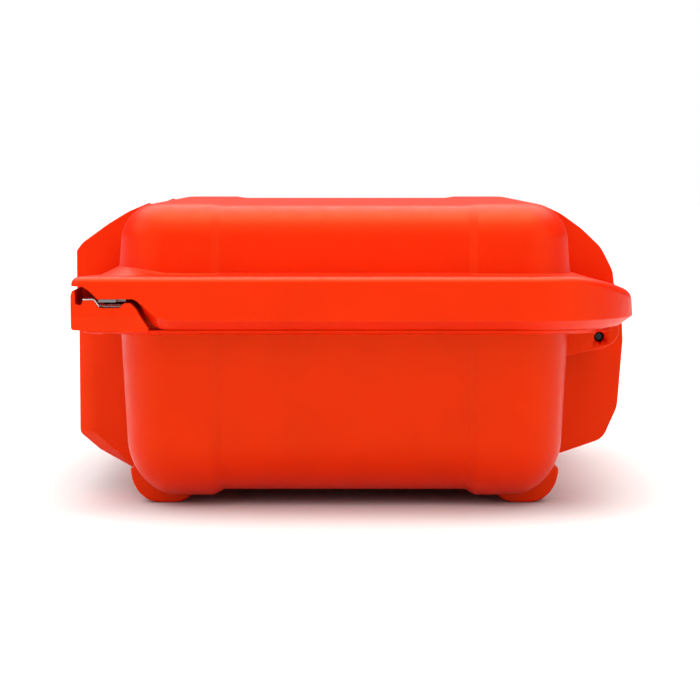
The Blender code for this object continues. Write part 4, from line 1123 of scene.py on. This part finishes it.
# ---- supplies -----------------------------------------------------------------------------------
def spiral_roll(name, centre_x, centre_z, radius, y0, y1, turns, mat):
    """A rolled bandage: one strip wound on itself, with its loose end lying on the roll."""
    steps = 30 * turns
    pitch = (radius - 2.2) / turns
    inner, outer = [], []
    for i in range(steps + 1):
        a = 2 * math.pi * turns * i / steps
        r = 2.2 + pitch * a / (2 * math.pi)
        wobble = 0.12 * math.sin(3 * a + 0.4 * turns)
        outer.append((centre_x + (r + wobble) * math.cos(a), centre_z + (r + wobble) * math.sin(a)))
        thin = r + wobble - pitch * 0.86
        inner.append((centre_x + thin * math.cos(a), centre_z + thin * math.sin(a)))
    outline = outer + inner[::-1]
    n = len(outline)
    rows = (y0, y0 + 0.35, y1 - 0.35, y1)
    verts = [(x, y, z) for y in rows for x, z in outline]
    faces = strips(n, len(rows))
    for start in (0, (len(rows) - 1) * n):
        end = start + n - 1
        faces += [[start + i, start + i + 1, end - 1 - i, end - i] for i in range(n // 2 - 1)]
    return make(name, verts, faces, mat, 50.0)


def build_gauze():
    for index in (1, 2, 3):
        node = "gauze_roll_%d" % index
        low, high = node_box(node)
        cx, cy, cz = middle(low, high)
        radius = (high.z - low.z) / 2
        roll = spiral_roll("wound_gauze_%d" % index, cx, cz, radius - 0.1, low.y, high.y, 8, GAUZE)
        wrap = [(cy - 7, radius - 0.2), (cy - 6.8, radius + 0.12), (cy + 6.8, radius + 0.12),
                (cy + 7, radius - 0.2), (cy + 7, radius - 0.6), (cy - 7, radius - 0.6)]
        merged(roll, turned("band", "Y", (cx, 0, cz), wrap, PAPER, 64, True))
        piece(roll, "base", "gauze", node)


def build_tape():
    low, high = node_box("tape_roll")
    cx, cy = middle(low, high)[:2]
    outer = (high.x - low.x) / 2
    section = []
    layers = 9
    inner = 14.4
    for side in (low.z, high.z):
        for i in range(layers * 2 + 1):
            share = i / (layers * 2)
            r = inner + (outer - inner) * (share if side == high.z else 1 - share)
            groove = 0.22 if i % 2 else 0.0
            section.append((side - groove if side == high.z else side + groove, r))
    roll = turned("cloth_tape_roll", "Z", (cx, cy, 0), section[::-1], CLOTH_TAPE, 72, True)
    end = arc(cx, cy, outer + 0.25, 200, 236, 8) + arc(cx, cy, outer - 0.4, 236, 200, 8)
    merged(roll, prism_z("tape_end", end, low.z + 0.1, high.z - 0.1, CLOTH_TAPE))
    piece(roll, "base", "tape_white", "tape_roll")
    low, high = node_box("tape_core")
    band = [(low.z, 12.5, 0.4), (low.z, 14.1, 0.4), (high.z, 14.1, 0.4), (high.z, 12.5, 0.4)]
    spool = turned("tape_spool", "Z", (cx, cy, 0), closed_fillet(band, 3), CORE_BLUE, 64, True)
    piece(spool, "base", "core_blue", "tape_core")


def cross_print(x, y, z, arm, mat):
    """A plain cross laid flat, the general sign for first aid."""
    a, b = arm, arm / 3
    outline = [(-a, -b), (-b, -b), (-b, -a), (b, -a), (b, -b), (a, -b)]
    outline += [(-u, -v) for u, v in outline]
    return prism_z("cross", [(x + u, y + v) for u, v in outline], z - 0.1, z + 0.12, mat)


def build_bottle():
    low, high = node_box("antiseptic_bottle")
    cx, _, cz = middle(low, high)
    profile = filleted([(low.y, 0.5, 0), (low.y, 15.0, 2.0), (42.0, 15.0, 4.0), (48.0, 11.0, 4.0),
                        (48.6, 6.2, 0.4), (high.y, 6.2, 0)], 6)
    bottle = turned("antiseptic_flask", "Y", (cx, 0, cz), profile, BOTTLE, 72)
    label = [(14.0, 15.12), (38.0, 15.12), (38.0, 14.6), (14.0, 14.6)]
    stripe = [(34.6, 15.2), (36.0, 15.2), (36.0, 14.7), (34.6, 14.7)]
    merged(bottle, *[turned("print", "Y", (cx, 0, cz), band, mat, 72, True)
                     for band, mat in ((label, PRINT_GREEN), (stripe, PRINT_WHITE))])
    piece(bottle, "base", "bottle_white", "antiseptic_bottle")
    low, high = node_box("bottle_cap")
    grip = knurled(cx, cz, 120, (8.15, 8.6, 8.6))
    rows = [(low.y, 0.97), (low.y + 0.4, 1.0), (high.y - 1.0, 1.0), (high.y - 0.3, 0.95), (high.y, 0.86)]
    verts = [(cx + (x - cx) * k, y, cz + (z - cz) * k) for y, k in rows for x, z in grip]
    cap = make("flask_cap", verts, capped(len(grip), len(rows)), CAP_GREEN, 50.0)
    piece(cap, "base", "cap_green", "bottle_cap")


def pillow(name, low, high, seam, mat, phase):
    """A sealed sachet: two sheets joined at a flat crimped border round a soft filling."""
    nx, ny = 40, 34
    (x0, y0, z0), (x1, y1, z1) = low, high
    mid = (z0 + z1) / 2
    tall = (z1 - z0) / 2
    verts, faces = [], []
    for sheet in (1, -1):
        for j in range(ny + 1):
            for i in range(nx + 1):
                x = x0 + (x1 - x0) * i / nx
                y = y0 + (y1 - y0) * j / ny
                inside = min(x - x0, x1 - x, y - y0, y1 - y)
                swell = math.sin(clamped((inside - seam) / 7.0) * math.pi / 2)
                crease = 0.35 * noise.noise(Vector((x * 0.11, y * 0.11, phase + sheet)))
                across = y if min(x - x0, x1 - x) < seam else x
                crimp = 0.12 * math.sin(across * 4.0) if inside < seam else 0.0
                height = 0.25 + (tall - 0.6) * swell + crease * swell
                verts.append((x, y, mid + sheet * height + crimp))
    row = nx + 1
    size = row * (ny + 1)
    for sheet in (0, 1):
        for j in range(ny):
            for i in range(nx):
                a = sheet * size + j * row + i
                faces.append([a, a + 1, a + row + 1, a + row])
    edge = list(range(nx)) + [nx + j * row for j in range(ny)]
    edge += [ny * row + nx - i for i in range(nx)] + [(ny - j) * row for j in range(ny)]
    for k, a in enumerate(edge):
        b = edge[(k + 1) % len(edge)]
        faces.append([a, b, size + b, size + a])
    return make(name, verts, faces, mat, 60.0)


def sachet_print(low, high):
    """A cross on a panel, and lines in place of text, on the top sachet."""
    top = high.z - 0.35
    z0, z1 = top - 0.9, top + 0.1
    panel = rounded_rectangle(low.x + 9, low.y + 9, low.x + 27, high.y - 9, 1.5)
    parts = [prism_z("panel", panel, z0, z1, PRINT_GREEN),
             cross_print(low.x + 18, middle(low, high)[1], top + 0.12, 6.5, PRINT_WHITE)]
    for i in range(5):
        y, end = low.y + 14 + 8 * i, high.x - 12 - 5 * (i % 2)
        parts.append(slab("line", (low.x + 32, y, z0), (end, y + 2, z1), PRINT_GREEN))
    return parts


def build_sachets():
    for index in (1, 2, 3, 4):
        node = "dressing_pack_%d" % index
        low, high = node_box(node)
        sachet = pillow("sterile_sachet_%d" % index, low, high, 4.0, PAPER, index * 3.1)
        if index == 4:
            merged(sachet, *sachet_print(low, high))
        piece(sachet, "base", "pack_paper", node)


def build_plaster_box():
    low, high = node_box("plaster_box")
    box = slab("plaster_carton", tuple(low), tuple(high), CARD, 0.5)
    cx, cy, top = (*middle(low, high)[:2], high.z)
    panel = rounded_rectangle(cx - 17, cy - 9, cx + 17, cy + 25, 2.0)
    flap = (low.x + 1.2, low.y + 0.6, top - 0.1), (high.x - 1.2, low.y + 15.0, top + 0.25)
    parts = [slab("flap", *flap, CARD, 0.15),
             prism_z("panel", panel, top - 0.2, top + 0.08, PRINT_WHITE),
             cross_print(cx, cy + 8, top + 0.12, 11.0, CARD)]
    for z in (top - 6, top - 9):
        ends = (low.x - 0.06, low.y + 1, z), (high.x + 0.06, high.y - 1, z + 1.2)
        parts.append(slab("stripe", *ends, PRINT_WHITE))
    merged(box, *parts)
    piece(weighted(box), "base", "card_green", "plaster_box")


def build_blanket():
    """The foil blanket: many folds of film, pressed into a block."""
    low, high = node_box("foil_blanket")
    layers = 8
    step = (high.z - low.z) / layers
    parts = []
    for k in range(layers):
        z0 = low.z + k * step
        dx = 0.5 * math.sin(2.1 * k)
        dy = 0.6 * math.cos(1.7 * k)
        near = (low.x + 0.8 + dx, low.y + 0.8 + dy, z0 + 0.05)
        far = (high.x - 0.8 + dx, high.y - 0.8 + dy, z0 + step + 0.5)
        parts.append(pillow("fold", near, far, 0.1, FOIL, 5.0 + k))
    block = parts[0]
    block.name = "foil_folds"
    merged(block, *parts[1:])
    piece(block, "base", "foil", "foil_blanket")


PIVOT = (-6.0, 24.0)


def scissor_half(name, side, z0, z1):
    """One blade with its shank and finger ring. side is +1 where the ring lies towards +Y."""
    px, py = PIVOT
    blade = [(px - 72.0, py + side * 0.6, 0.4), (px - 60.0, py - side * 3.0, 10.0),
             (px, py - side * 5.5, 12.0), (px + 10.0, py - side * 3.6, 8.0)]
    shank = [(px + 33.0, py + side * 5.0, 2.0), (px + 31.0, py + side * 10.0, 2.0),
             (px + 8.0, py + side * 5.5, 10.0), (px, py + side * 5.5, 10.0),
             (px - 60.0, py + side * 1.2, 0.3)]
    flat = prism_z(name, closed_fillet(blade + shank, 5), z0, z1, POLISHED, 0.3, 2)
    centre = (px + 42.0, py + side * 14.0, 0)
    mid = (z0 + z1) / 2
    turns = [2 * math.pi * i / 16 for i in range(16)]
    tube = [(mid + 0.85 * math.sin(a), 11.0 + 2.0 * math.cos(a)) for a in turns]
    handle = turned("ring", "Z", centre, tube, POLISHED, 48, True)
    return merged(flat, handle)


def build_tools():
    for name, side, body, node in (("scissors_fixed", 1, "lid", "scissors_lower_half"),
                                   ("scissors_moving", -1, "scissors_blade", "scissors_upper_half")):
        low, high = node_box(node)
        half = scissor_half(name, side, low.z, high.z)
        piece(weighted(half), body, "polished_steel", node)
    low, high = node_box("scissors_rivet")
    x, y = PIVOT
    head = [(low.z, 1.6), (low.z + 0.15, 2.4), (low.z + 0.4, 3.0), (low.z + 0.42, 1.5),
            (high.z - 0.2, 1.5), (high.z, 1.3)]
    rivet = turned("rivet", "Z", (x, y, 0), head, POLISHED, 40)
    cut(rivet, slab("slot", (x - 4, y - 0.35, low.z - 1), (x + 4, y + 0.35, low.z + 0.25), POLISHED))
    piece(rivet, "lid", "polished_steel", "scissors_rivet")
    low, high = node_box("tweezers")
    y = (low.y + high.y) / 2
    outer = [(-52.0, 0.8, 0.3), (-20.0, 4.6, 40.0), (20.0, 5.0, 30.0), (44.0, 2.4, 6.0), (48.0, 0.0, 1.0)]
    upper = [(u, y + v, r) for u, v, r in outer]
    lower = [(u, y - v, r) for u, v, r in outer[-2::-1]]
    slot_low = [(-20.0, y - 3.4, 40.0), (20.0, y - 3.8, 20.0)]
    slot_high = [(20.0, y + 3.8, 20.0), (-20.0, y + 3.4, 40.0)]
    outline = closed_fillet(upper + lower + slot_low + [(38.0, y, 0.6)] + slot_high, 5)
    legs = prism_z("tweezer_legs", outline, low.z, high.z, POLISHED, 0.2, 2)
    piece(weighted(legs), "lid", "polished_steel", "tweezers")


# ---- stage --------------------------------------------------------------------------------------
def build_world():
    """A white backdrop, and light that is stronger overhead and weaker from the far end."""
    world = bpy.data.worlds.new("studio")
    bpy.context.scene.world = world
    world.use_nodes = True
    tree = world.node_tree
    backdrop = tree.nodes["Background"]
    backdrop.inputs["Color"].default_value = (1.0, 1.0, 1.0, 1.0)
    light = tree.nodes.new("ShaderNodeBackground")
    place = tree.nodes.new("ShaderNodeTexCoord")

    def curve(axis, points):
        """Brightness by how far light comes from along axis, as (cosine, brightness) points."""
        along = tree.nodes.new("ShaderNodeVectorMath")
        along.operation = "DOT_PRODUCT"
        tree.links.new(place.outputs["Generated"], along.inputs[0])
        along.inputs[1].default_value = axis
        value = along.outputs["Value"]
        for (start, low), (end, high) in zip(points, points[1:]):
            ramp = tree.nodes.new("ShaderNodeMapRange")
            ramp.interpolation_type = "SMOOTHSTEP"
            ends = {"From Min": start, "From Max": end, "To Min": 0.0, "To Max": high - low}
            for key, amount in ends.items():
                ramp.inputs[key].default_value = amount
            tree.links.new(value, ramp.inputs["Value"])
            yield ramp.outputs["Result"]

    total = None
    for part in (*curve((1.0, 0.0, 0.0), ROUND_LIGHT), *curve(OVER_AXIS, OVER_LIGHT)):
        add = tree.nodes.new("ShaderNodeMath")
        add.operation = "ADD"
        tree.links.new(part, add.inputs[0])
        add.inputs[1].default_value = ROUND_LIGHT[0][1]
        if total is not None:
            tree.links.new(total.outputs["Value"], add.inputs[1])
        total = add
    tree.links.new(total.outputs["Value"], light.inputs["Strength"])
    path = tree.nodes.new("ShaderNodeLightPath")
    choice = tree.nodes.new("ShaderNodeMixShader")
    tree.links.new(path.outputs["Is Camera Ray"], choice.inputs["Fac"])
    tree.links.new(light.outputs["Background"], choice.inputs[1])
    tree.links.new(backdrop.outputs["Background"], choice.inputs[2])
    tree.links.new(choice.outputs["Shader"], tree.nodes["World Output"].inputs["Surface"])


def build_stage():
    build_world()

    floor_mat = Recipe("pale_floor", (0.72, 0.72, 0.72), 1.0, specular=0.0)
    reach, level = 6000, -0.2
    corners = [(-reach, -reach, level), (reach, -reach, level), (reach, reach, level), (-reach, reach, level)]
    floor = make("floor", corners, [[0, 1, 2, 3]], floor_mat.material)

    def lamp(name, place, aim, size, power, colour=(1.0, 1.0, 1.0)):
        data = bpy.data.lights.new(name, "AREA")
        data.shape = "SQUARE"
        data.size = size
        data.energy = power
        data.color = colour
        obj = bpy.data.objects.new(name, data)
        bpy.context.scene.collection.objects.link(obj)
        obj.location = place
        obj.rotation_euler = (Vector(aim) - Vector(place)).to_track_quat("-Z", "Y").to_euler()

    lamp("key", (0.1, -1.0, 0.8), (0, 0, 0.06), 0.6, 2.4)
    lamp("top", (0.2, 0.1, 1.3), (0, 0, 0.06), 1.0, 6.0, (1.0, 0.9, 0.75))


def build_camera():
    data = bpy.data.cameras.new("camera")
    data.lens = 120.1
    data.sensor_width = 36.0
    data.clip_start = 0.01
    data.clip_end = 50.0
    camera = bpy.data.objects.new("camera", data)
    bpy.context.scene.collection.objects.link(camera)
    camera.location = (0.9361, 0.0, 0.12283)
    camera.rotation_euler = (math.radians(90.0 - 4.502), 0.0, math.radians(90.0))
    bpy.context.scene.camera = camera


build_camera()
build_stage()
bpy.context.scene.view_settings.view_transform = "Standard"
build_base()
build_lid()
build_gasket()
build_plates()
build_pins()
build_claw()
build_lever()
build_lock()
build_valve()
build_foam()
build_loops()
build_gauze()
build_tape()
build_bottle()
build_sachets()
build_plaster_box()
build_blanket()
build_tools()
